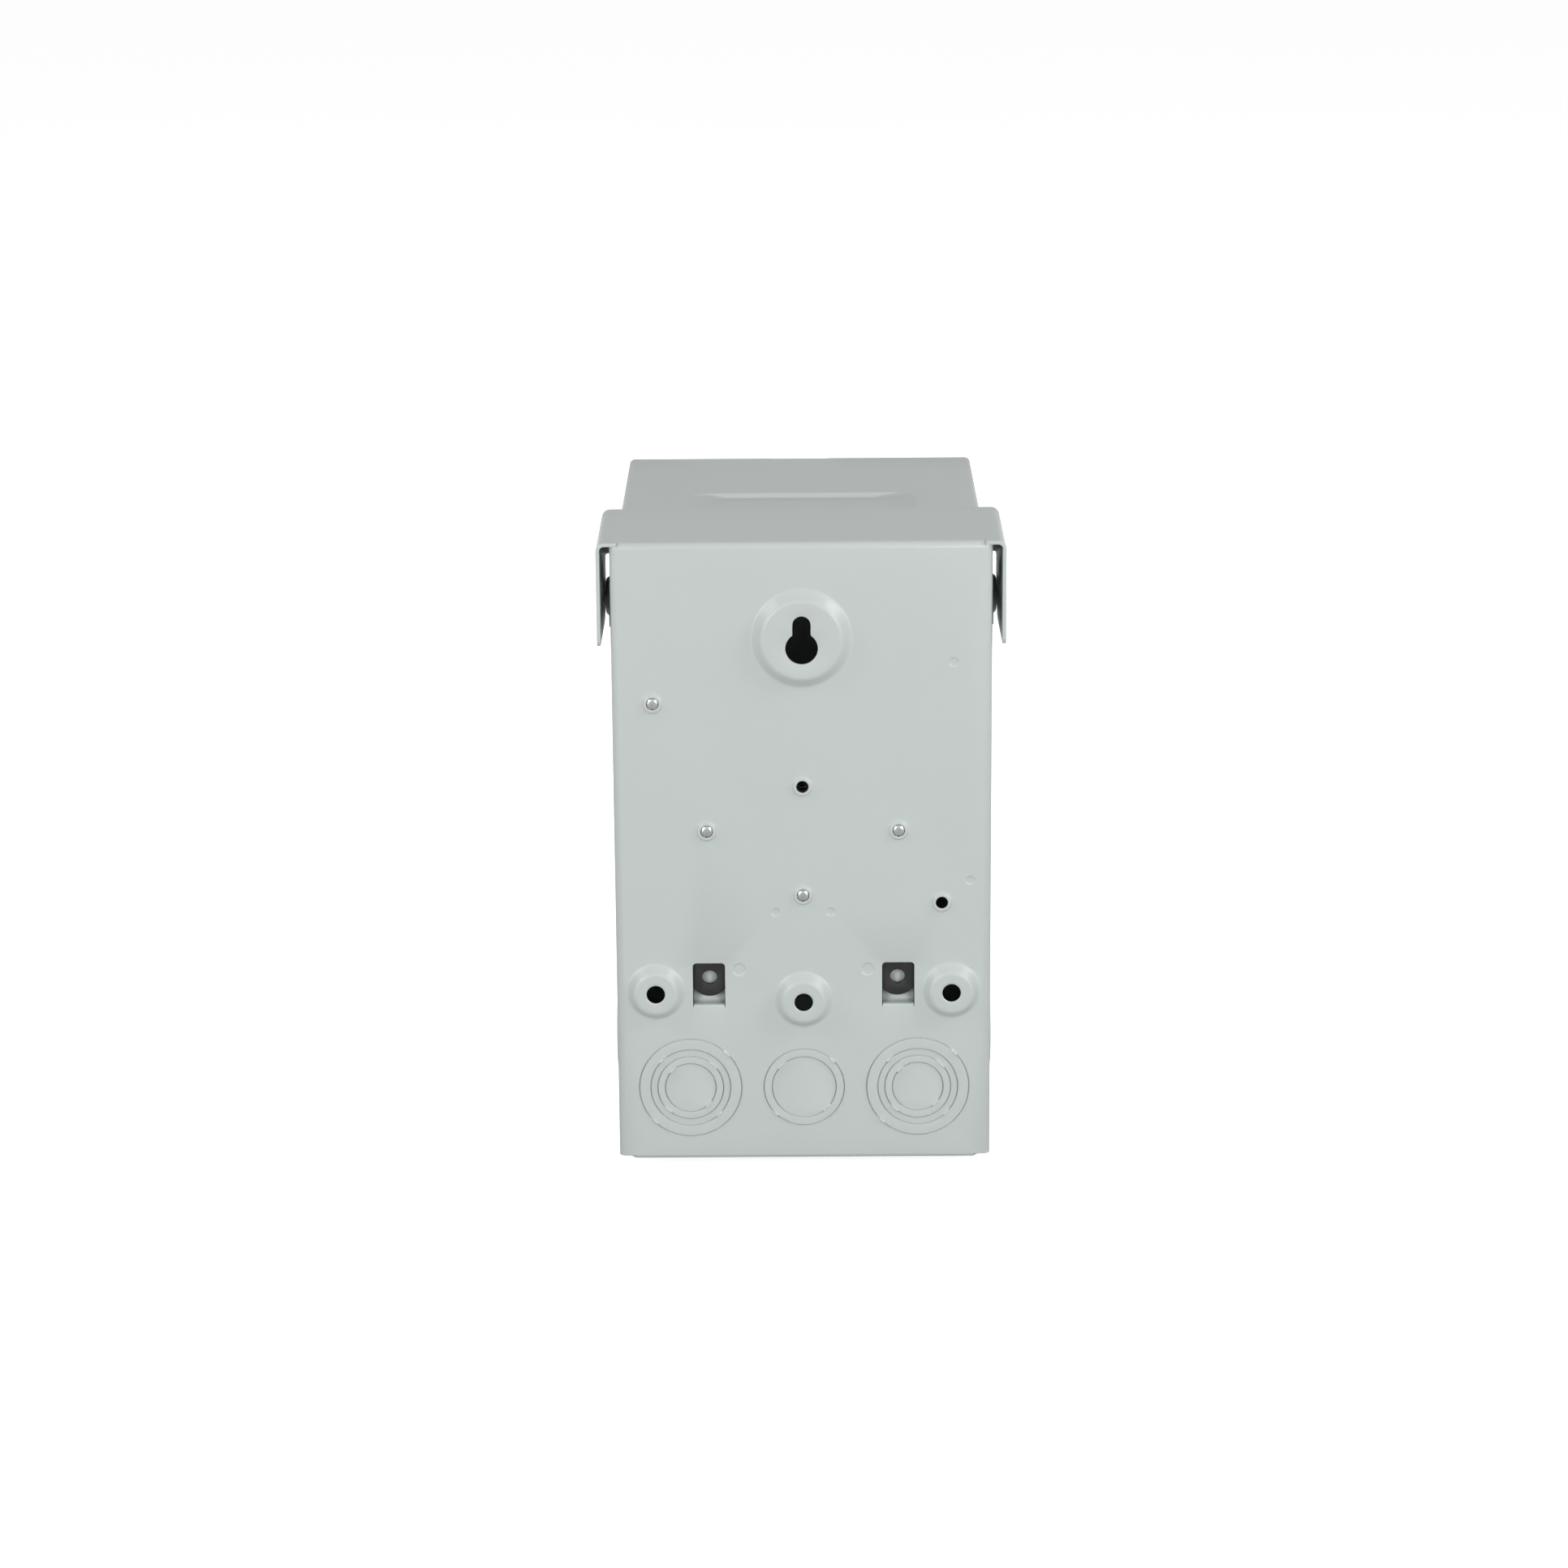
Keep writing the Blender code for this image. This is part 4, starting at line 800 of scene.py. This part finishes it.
def form_hood():
    """Top, lip and skirts, from one block that is open below and behind."""
    sizes = bpy.context.scene.load_centre_sizes
    half_box = HALF_PANEL - sizes.bend_radius
    join_y = at_depth(sizes.bend_radius / MM + 0.6)
    bpy.ops.mesh.select_all(action="DESELECT")
    bpy.ops.mesh.primitive_cube_add(
        size=1.0, location=(0, (PANEL_Y + HOOD_FRONT_Y) / 2, (TOP_Z + LIP_Z) / 2),
        scale=(2 * HALF_HOOD, PANEL_Y - HOOD_FRONT_Y, TOP_Z - LIP_Z))
    pick_faces(lambda mid, normal: near(mid.x, 0) and (
        (near(mid.z, LIP_Z) and abs(normal.z) > 0.9)
        or (near(mid.y, PANEL_Y) and abs(normal.y) > 0.9 and near(mid.z, (TOP_Z + LIP_Z) / 2))))
    bpy.ops.mesh.delete(type="FACE")
    pick_edges(lambda a, b: min(abs(a.x), abs(b.x)) > HALF_HOOD - 1e-5
               and (both(Z, TOP_Z, a, b) or both(Y, HOOD_FRONT_Y, a, b) and near(a.x, b.x))
               and not both(Y, PANEL_Y, a, b))
    bpy.ops.mesh.bevel(offset=sizes.hood_radius, segments=5, affect="EDGES", profile=0.5)
    for side in (1, -1):
        pick_faces(lambda mid, normal: near(mid.z, TOP_Z) and abs(normal.z) > 0.99)
        bpy.ops.mesh.bisect(plane_co=(side * half_box, 0, 0), plane_no=(1, 0, 0))
    pick_faces(lambda mid, normal: near(mid.z, TOP_Z) and abs(normal.z) > 0.99
               and mid.y < join_y - MM)
    bpy.ops.mesh.bisect(plane_co=(0, join_y, 0), plane_no=(0, 1, 0))
    pick_faces(lambda mid, normal: near(mid.z, TOP_Z) and abs(normal.z) > 0.99
               and join_y < mid.y < PANEL_Y and abs(mid.x) < half_box)
    bpy.ops.mesh.delete(type="FACE")
    for side in (-1, 1):
        wall = side * HALF_HOOD
        pick_faces(lambda mid, normal: near(mid.x, wall) and abs(normal.x) > 0.99)
        bpy.ops.mesh.bisect(plane_co=(0, SKIRT_FRONT_Y, 0), plane_no=(0, 1, 0))
        pick(lambda co: near(co.x, wall) and near(co.z, LIP_Z) and co.y > SKIRT_FRONT_Y - 1e-5)
        extend((0, 0, SKIRT_Z - LIP_Z))
        pick(lambda co: near(co.x, wall) and near(co.z, SKIRT_Z) and near(co.y, SKIRT_FRONT_Y))
        bpy.ops.mesh.bevel(offset=18.0 * MM, segments=10, affect="VERTICES")
        pick(lambda co: near(co.x, wall) and near(co.z, SKIRT_Z) and near(co.y, PANEL_Y))
        bpy.ops.mesh.bevel(offset=3.0 * MM, segments=5, affect="VERTICES")
    weld_all(5e-6)


def form_bottom():
    """Bottom, bent forwards under the box, with its upturned front lip."""
    bend = PANEL_LOW_Z - BOTTOM_Z
    pick(lambda co: near(co.y, PANEL_Y) and near(co.z, PANEL_LOW_Z)
         and abs(co.x) < HALF_LOW_EDGE + 0.1 * MM)
    sweep_arc(bend, 90, -90, 5, lambda a, b: (0.0, b, -a))
    start = PANEL_Y - bend
    front = SIDE_FRONT_Y + bend
    half = HALF_PANEL - 0.9 * MM
    relief = at_depth(6.5)
    outline = with_mirror([(HALF_LOW_EDGE, start), (HALF_LOW_EDGE + 0.7 * MM, start - MM),
                           (half - MM, relief), (half, relief - MM), (half, front)])
    trace([(x, y, BOTTOM_Z) for x, y in outline], close=False)
    ring((0, HINGE_Y - 1.5 * MM, BOTTOM_Z), 3.5 * MM, Z, 24)
    weld_all(5e-6)
    fill_level(lambda co: near(co.z, BOTTOM_Z))
    pick(lambda co: near(co.y, front) and near(co.z, BOTTOM_Z) and near(abs(co.x), half))
    sweep_arc(bend, 270, -90, 5, lambda a, b: (0.0, a, b))
    extend((0, 0, 10.0 * MM))


def make_enclosure():
    piece = start_piece("enclosure_sheet")
    draw_panel()
    press_bosses()
    press_small_holes()
    press_knockouts()
    bend_tabs()
    bend_sides()
    bend_top()
    form_bottom()
    form_hood()
    close_piece(piece, (lambda co: near(co.y, PANEL_Y, 1e-4) and abs(co.x) < 60 * MM, (0, 1, 0)),
                bpy.context.scene.load_centre_sizes.sheet, edge=0.22 * MM)
    settle(piece, "box", ["enclosure"], finish_named("paint"))


# ---------------------------------------------------------------- door

EAR_RADIUS = 9.0 * MM
NOTCH_WIDTH = 28.0 * MM
NOTCH_DEPTH = 3.0 * MM
# Distance of the recess's middle from the far edge, its corner, and its (length, width, level) steps.
RECESS_PLACE = 124.0 * MM
RECESS_CORNER = 11.0 * MM
RECESS_STEPS = (
    (107.0, 80.0, 0.0), (106.4, 79.7, -0.16), (105.2, 79.3, -0.42), (94.0, 78.6, -1.15),
    (87.0, 78.0, -1.75), (84.6, 77.4, -2.08), (83.0, 76.7, -2.18), (80.0, 75.3, -2.2),
)


def make_door():
    """Tray with its recess, its notch and the pressed hinge ears; it stands open at rest."""
    sizes = bpy.context.scene.load_centre_sizes
    top = DOOR_HIGH.z
    low = HINGE_Z - EAR_RADIUS
    rear = DOOR_HIGH.y
    front = DOOR_LOW.y
    piece = start_piece("door_sheet")
    bpy.ops.mesh.primitive_cube_add(size=1.0, location=(0, (rear + front) / 2, (top + low) / 2),
                                    scale=(2 * HALF_DOOR, rear - front, top - low))
    pick_faces(lambda co, normal: near(co.z, low) or near(co.y, rear))
    bpy.ops.mesh.delete(type="FACE")
    pick_edges(lambda a, b: both(Z, top, a, b) and not both(Y, rear, a, b)
               or both(Y, front, a, b) and near(a.x, b.x))
    bpy.ops.mesh.bevel(offset=sizes.door_radius, segments=4, affect="EDGES", profile=0.5)
    trim_door_flange(front)
    press_door_face(top, front)
    press_ears()
    close_piece(piece, (lambda co: near(co.z, top, 1e-4), (0, 0, 1)), sizes.sheet, edge=0.2 * MM)
    deep = NOTCH_DEPTH + MM
    carve(piece, [((0, front - MM + deep / 2, top - 1.3 * MM + deep), (NOTCH_WIDTH, deep, 2 * deep))])
    smooth(35)
    settle(piece, "door", ["door"], finish_named("paint"))


def trim_door_flange(front):
    """Bottom flange, shorter than the side flanges, with its padlock hole."""
    flange_z = HINGE_Z - 4.0 * MM
    pick_faces(lambda co, normal: near(co.y, front) and abs(normal.y) > 0.99)
    bpy.ops.mesh.bisect(plane_co=(0, 0, flange_z), plane_no=(0, 0, 1))
    pick_faces(lambda co, normal: near(co.y, front) and abs(normal.y) > 0.99 and co.z < flange_z)
    bpy.ops.mesh.delete(type="FACE")
    hole_z = HINGE_Z + 1.5 * MM
    pick_faces(lambda co, normal: near(co.y, front) and abs(normal.y) > 0.99)
    bpy.ops.mesh.delete(type="ONLY_FACE")
    ring((0, front, hole_z), 3.5 * MM, Y, 24)
    fill_level(lambda co: near(co.y, front))


def press_door_face(top, front):
    """The face between the flanges, with its shallow recess."""
    pick_faces(lambda co, normal: near(co.z, top) and abs(normal.z) > 0.99)
    bpy.ops.mesh.delete(type="ONLY_FACE")
    centre = Vector((0, front + RECESS_PLACE, top))
    width = (RECESS_STEPS[0][0] + 2.0) * MM
    height = (RECESS_STEPS[0][1] + 2.0) * MM
    outline = []
    for side, end, start in ((1, 1, 0), (-1, 1, 90), (-1, -1, 180), (1, -1, 270)):
        outline += round_corner(centre.x + side * (width / 2 - RECESS_CORNER),
                                centre.y + end * (height / 2 - RECESS_CORNER), RECESS_CORNER, start, 8)
    trace([(x, y, top) for x, y in outline])
    weld_all(5e-6)
    fill_level(lambda co: near(co.z, top))
    pick(lambda co: near(co.z, top) and abs(co.x) < width / 2 + 1e-5
         and abs(co.y - centre.y) < height / 2 + 1e-5)
    level = 0.0
    for new_width, new_height, new_level in RECESS_STEPS:
        extend((0, 0, (new_level - level) * MM))
        bpy.ops.transform.resize(value=(new_width * MM / width, new_height * MM / height, 1.0),
                                 center_override=tuple(centre))
        width, height, level = new_width * MM, new_height * MM, new_level
    bpy.ops.mesh.edge_face_add()


def press_ears():
    """Round seats pressed out of both side flanges round the hinge rivets."""
    profile = in_mm(((8.8, 0.3), (8.2, 1.2), (7.7, 1.7), (7.0, 1.9), (3.2, 1.9), (2.8, 1.7)))
    for side in (-1, 1):
        centre = (side * HALF_DOOR, HINGE_Y, HINGE_Z)
        ring((side * (HALF_DOOR + 0.05 * MM), HINGE_Y, HINGE_Z), EAR_RADIUS, X, 40)
        turn_profile(centre, X, EAR_RADIUS, [(radius, height * side) for radius, height in profile])


# ---------------------------------------------------------------- hardware

def threaded_screw(node):
    """Pan-head thread-cutting screw: slotted head, threaded shank, notched tip."""
    low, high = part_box(node)
    x = (low.x + high.x) / 2
    z = (low.z + high.z) / 2
    head = (high.x - low.x) / 2
    piece = start_piece(node + "_turned")
    tip = high.y
    centre = (x, tip, z)
    tip_radius = 1.5 * MM
    shank = 2.45 * MM
    root = shank - 0.35 * MM
    pitch = 0.8 * MM
    head_back = 2.6 * MM
    ring(centre, tip_radius, Y, 32)
    bpy.ops.mesh.edge_face_add()
    steps = [(1.95 * MM, -0.06 * MM), (2.15 * MM, -0.25 * MM)]
    depth = 0.25 * MM
    length = (high.y - low.y) - head_back
    while depth + pitch < length - 0.6 * MM:
        steps += [(shank, -(depth + 0.3 * MM)), (shank, -(depth + 0.42 * MM)),
                  (root, -(depth + 0.72 * MM)), (root, -(depth + pitch))]
        depth += pitch
    steps += [(shank - 0.3 * MM, -length + 0.1 * MM), (head - 0.3 * MM, -length),
              (head - 0.03 * MM, -length - 0.25 * MM), (head, -length - 0.7 * MM),
              (head - 0.25 * MM, -length - 1.5 * MM), (head - 0.9 * MM, -length - 2.15 * MM),
              (head - 1.9 * MM, -length - 2.5 * MM), (head - 3.0 * MM, -length - head_back)]
    turn_profile(centre, Y, tip_radius, steps)
    bpy.ops.mesh.edge_face_add()
    close_piece(piece, (lambda co: near(co.y, tip, 1e-4), (0, 1, 0)), degrees=40)
    slot = ((x, low.y + 0.4 * MM, z), (2.4 * head, 2.0 * MM, 1.0 * MM))
    groove = ((x, tip, z - 1.5 * MM), (0.75 * MM, 2.4 * MM, 3.0 * MM))
    carve(piece, [slot, groove])
    smooth(40)
    return piece


def make_panel_screws():
    for node in SCREW_NODES:
        settle(threaded_screw(node), "box", [node], finish_named("zinc"))


def make_rivets():
    """Shouldered hinge rivets with domed heads."""
    crown = 1.2 * MM
    for node, side in (("hinge_rivet_left", -1), ("hinge_rivet_right", 1)):
        low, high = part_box(node)
        piece = start_piece(node + "_domed")
        outer = high.x if side > 0 else low.x
        inner = low.x if side > 0 else high.x
        centre = (outer, HINGE_Y, HINGE_Z)
        length = abs(outer - inner)
        profile = in_mm(((2.6, 0.12), (3.7, 0.45), (4.3, 0.9), (4.5, 1.3), (4.4, 1.5), (2.5, 1.52)))
        profile += [(radius, length - height) for radius, height in reversed(profile)]
        ring(centre, crown, X, 36)
        bpy.ops.mesh.edge_face_add()
        turn_profile(centre, X, crown, [(radius, -side * height)
                                        for radius, height in profile + [(crown, length)]])
        bpy.ops.mesh.edge_face_add()
        close_piece(piece, (lambda co: near(co.x, outer, 1e-4), (side, 0, 0)))
        settle(piece, "box", [node], finish_named("zinc"))


SOFTENED = (
    ("interior_base", "box", "moulding", 0.35), ("deadfront", "box", "paint", 0.4),
    ("breaker_upper", "box", "breaker_case", 0.4), ("breaker_lower", "box", "breaker_case", 0.4),
    ("breaker_upper_handle", "handle_upper", "breaker_handle", 0.35),
    ("breaker_lower_handle", "handle_lower", "breaker_handle", 0.35),
    ("ground_bar", "box", "aluminium", 0.2), ("neutral_bar", "box", "aluminium", 0.2),
    ("line_bus_a", "box", "aluminium", 0.2), ("line_bus_b", "box", "aluminium", 0.2),
    ("line_lug_a", "box", "aluminium", 0.3), ("line_lug_b", "box", "aluminium", 0.3),
    ("line_lug_screw_a", "box", "aluminium", 0.2), ("line_lug_screw_b", "box", "aluminium", 0.2),
    ("directory_label", "door", "label", 0.0),
)


def make_interior():
    for node, body, slot, edge in SOFTENED:
        settle(softened(node, edge * MM), body, [node], finish_named(slot))
    kept = [name for name in frame["nodes"] if "terminal_screw" in name or "deadfront_screw" in name]
    kept.append("neutral_main_screw")
    for name in kept:
        settle(softened(name, 0.12 * MM, 1), "box", [name], finish_named("zinc"))


# ---------------------------------------------------------------- stage

CAMERA_PLACE = (1.8 * MM, 1786.3 * MM, 433.9 * MM)
CAMERA_PITCH = math.radians(15.74)
CAMERA_YAW = math.radians(0.194)
CAMERA_ROLL = math.radians(-0.423)
CAMERA_LENS = 99.84
# Name, place, width, height, power.
LIGHTS = (
    ("left_front_softbox", (1.35, 2.1, 0.45), 0.9, 0.9, 21.5),
    ("right_front_softbox", (-1.35, 2.1, 0.45), 0.9, 0.9, 21.5),
    ("left_softbox", (1.45, 0.45, 1.0), 0.5, 0.8, 7.0),
    ("right_softbox", (-1.45, 0.45, 1.0), 0.5, 0.8, 11.0),
    ("left_rear_fill", (1.7, -1.6, 0.3), 0.9, 0.9, 15.0),
    ("right_rear_fill", (-1.7, -1.6, 0.3), 0.9, 0.9, 15.0),
)
LIGHTS_AIM = Vector((0, -0.05, -0.08))
STUDIO_LIGHT = 0.22
STUDIO_SHEEN = 0.6


def set_camera():
    forward = Vector((math.sin(CAMERA_YAW) * math.cos(CAMERA_PITCH),
                      -math.cos(CAMERA_YAW) * math.cos(CAMERA_PITCH), -math.sin(CAMERA_PITCH)))
    right = Vector((-math.cos(CAMERA_YAW), -math.sin(CAMERA_YAW), 0.0))
    up = right.cross(forward)
    turned = math.cos(CAMERA_ROLL) * right + math.sin(CAMERA_ROLL) * up
    raised = -math.sin(CAMERA_ROLL) * right + math.cos(CAMERA_ROLL) * up
    data = bpy.data.cameras.new("camera")
    data.lens = CAMERA_LENS
    data.sensor_width = 36.0
    camera = bpy.data.objects.new("camera", data)
    bpy.context.scene.collection.objects.link(camera)
    camera.matrix_world = Matrix.Translation(CAMERA_PLACE) @ Matrix(
        (turned, raised, -forward)).transposed().to_4x4()
    bpy.context.scene.camera = camera


def set_lights():
    for name, place, width, height, power in LIGHTS:
        data = bpy.data.lights.new(name, "AREA")
        data.shape = "RECTANGLE"
        data.size = width
        data.size_y = height
        data.energy = power
        light = bpy.data.objects.new(name, data)
        bpy.context.scene.collection.objects.link(light)
        light.location = place
        light.rotation_euler = (LIGHTS_AIM - Vector(place)).to_track_quat("-Z", "Y").to_euler()


def set_world():
    """A dim studio for the light, brighter in gloss and plain white behind the object."""
    world = bpy.data.worlds.new("studio")
    world.use_nodes = True
    tree = world.node_tree
    background = tree.nodes["Background"]
    background.inputs["Color"].default_value = (1.0, 1.0, 1.0, 1.0)
    path = tree.nodes.new("ShaderNodeLightPath")
    seen = Value(tree, path.outputs["Is Camera Ray"])
    mirrored = Value(tree, path.outputs["Is Glossy Ray"])
    put(tree, background.inputs["Strength"], seen * (1.0 - STUDIO_LIGHT)
        + mirrored * (STUDIO_SHEEN - STUDIO_LIGHT) + STUDIO_LIGHT)
    bpy.context.scene.world = world
    bpy.context.scene.view_settings.view_transform = "Standard"


def lay_floor():
    """Pale floor just below the closed door, lit from within so that it reads as white paper."""
    finish_editing()
    closed_door_low = HINGE_Z + DOOR_LOW.y - HINGE_Y
    bpy.ops.mesh.primitive_plane_add(size=14.0, location=(0, 0, closed_door_low - 1.5 * MM))
    floor = bpy.context.object
    floor.name = "pale_floor"
    bpy.ops.object.transform_apply(location=True, rotation=True, scale=True)
    made = Finish("pale_floor")
    seen = made.add("ShaderNodeLightPath", output="Is Camera Ray")
    made.shader.inputs["Emission Strength"].default_value = 1.0
    put(made.tree, made.shader.inputs["Emission Color"],
        made.blend(seen, (0.0, 0.0, 0.0, 1.0), (0.75, 0.75, 0.75, 1.0)))
    made.dress(made.blend(seen, (0.45, 0.45, 0.45, 1.0), (0.88, 0.88, 0.88, 1.0)), 0.9)
    floor.data.materials.append(made.material)


# ---------------------------------------------------------------- add-on

class LoadCentreSizes(bpy.types.PropertyGroup):
    """Sizes of the sheet metal."""

    sheet: bpy.props.FloatProperty(
        name="Sheet", description="Thickness of the steel sheet",
        default=1.5 * MM, min=0.5 * MM, unit="LENGTH", precision=5)
    bend_radius: bpy.props.FloatProperty(
        name="Bend radius", description="Outer radius of the box's bends",
        default=3.0 * MM, min=MM, unit="LENGTH", precision=5)
    hood_radius: bpy.props.FloatProperty(
        name="Hood radius", description="Outer radius of the hood's edges",
        default=3.5 * MM, min=MM, unit="LENGTH", precision=5)
    door_radius: bpy.props.FloatProperty(
        name="Door radius", description="Outer radius of the door's edges",
        default=2.5 * MM, min=MM, unit="LENGTH", precision=5)
    boss_height: bpy.props.FloatProperty(
        name="Boss height", description="How far the bosses stand proud",
        default=4.0 * MM, min=2.0 * MM, unit="LENGTH", precision=5)
    knockout_step: bpy.props.FloatProperty(
        name="Knockout step", description="Rise of a pressed knockout ring",
        default=0.5 * MM, min=0.0, unit="LENGTH", precision=5)
    side_knockout_step: bpy.props.FloatProperty(
        name="Side knockout step", description="How far the side knockouts stand proud",
        default=0.8 * MM, min=0.0, unit="LENGTH", precision=5)


class LoadCentreColours(bpy.types.PropertyGroup):
    """Colours of the finishes."""

    paint: bpy.props.FloatVectorProperty(
        name="Paint", description="Powder coat",
        size=3, subtype="COLOR", default=(0.56, 0.61, 0.59))
    moulding: bpy.props.FloatVectorProperty(
        name="Moulding", description="Interior base",
        size=3, subtype="COLOR", default=(0.018, 0.019, 0.018))
    breaker: bpy.props.FloatVectorProperty(
        name="Breaker", description="Breaker case and handle",
        size=3, subtype="COLOR", default=(0.02, 0.02, 0.022))
    zinc: bpy.props.FloatVectorProperty(
        name="Zinc", description="Screws and rivets",
        size=3, subtype="COLOR", default=(0.75, 0.76, 0.78))
    aluminium: bpy.props.FloatVectorProperty(
        name="Aluminium", description="Buses, lugs and bars",
        size=3, subtype="COLOR", default=(0.78, 0.79, 0.8))
    label: bpy.props.FloatVectorProperty(
        name="Label", description="Circuit directory",
        size=3, subtype="COLOR", default=(0.85, 0.85, 0.82))


class LOADCENTRE_OT_enclosure(bpy.types.Operator):
    """Form the box from one sheet, with its hood, bosses, knockouts and windows"""

    bl_idname = "loadcentre.enclosure"
    bl_label = "Enclosure"

    def execute(self, context):
        make_enclosure()
        return {"FINISHED"}


class LOADCENTRE_OT_door(bpy.types.Operator):
    """Form the door, with its recess and hinge ears"""

    bl_idname = "loadcentre.door"
    bl_label = "Door"

    def execute(self, context):
        make_door()
        return {"FINISHED"}


class LOADCENTRE_OT_screws(bpy.types.Operator):
    """Turn the screws whose tips show through the back"""

    bl_idname = "loadcentre.screws"
    bl_label = "Panel screws"

    def execute(self, context):
        make_panel_screws()
        return {"FINISHED"}


class LOADCENTRE_OT_rivets(bpy.types.Operator):
    """Turn the two hinge rivets"""

    bl_idname = "loadcentre.rivets"
    bl_label = "Hinge rivets"

    def execute(self, context):
        make_rivets()
        return {"FINISHED"}


class LOADCENTRE_OT_interior(bpy.types.Operator):
    """Finish the base, bars, buses, lugs, breakers and inner cover"""

    bl_idname = "loadcentre.interior"
    bl_label = "Interior"

    def execute(self, context):
        make_interior()
        return {"FINISHED"}


class LOADCENTRE_OT_stage(bpy.types.Operator):
    """Set the camera, the lights and the floor"""

    bl_idname = "loadcentre.stage"
    bl_label = "Stage"

    def execute(self, context):
        set_camera()
        set_lights()
        set_world()
        lay_floor()
        return {"FINISHED"}


OPERATORS = (LOADCENTRE_OT_enclosure, LOADCENTRE_OT_door, LOADCENTRE_OT_screws,
             LOADCENTRE_OT_rivets, LOADCENTRE_OT_interior, LOADCENTRE_OT_stage)


class LOADCENTRE_PT_panel(bpy.types.Panel):
    """Lists the sizes, the colours and the pieces"""

    bl_label = "Load Centre"
    bl_idname = "LOADCENTRE_PT_panel"
    bl_space_type = "VIEW_3D"
    bl_region_type = "UI"
    bl_category = "Load Centre"

    def draw(self, context):
        for group in (context.scene.load_centre_sizes, context.scene.load_centre_colours):
            for key in group.bl_rna.properties.keys():
                if key not in {"rna_type", "name"}:
                    self.layout.prop(group, key)
        for operator in OPERATORS:
            self.layout.operator(operator.bl_idname)


CLASSES = (LoadCentreSizes, LoadCentreColours, *OPERATORS, LOADCENTRE_PT_panel)


def register():
    for kind in CLASSES:
        bpy.utils.register_class(kind)
    bpy.types.Scene.load_centre_sizes = bpy.props.PointerProperty(type=LoadCentreSizes)
    bpy.types.Scene.load_centre_colours = bpy.props.PointerProperty(type=LoadCentreColours)


def unregister():
    del bpy.types.Scene.load_centre_colours
    del bpy.types.Scene.load_centre_sizes
    for kind in reversed(CLASSES):
        bpy.utils.unregister_class(kind)


def main():
    register()
    bpy.ops.loadcentre.enclosure()
    bpy.ops.loadcentre.door()
    bpy.ops.loadcentre.screws()
    bpy.ops.loadcentre.rivets()
    bpy.ops.loadcentre.interior()
    bpy.ops.loadcentre.stage()


if __name__ == "__main__":
    main()
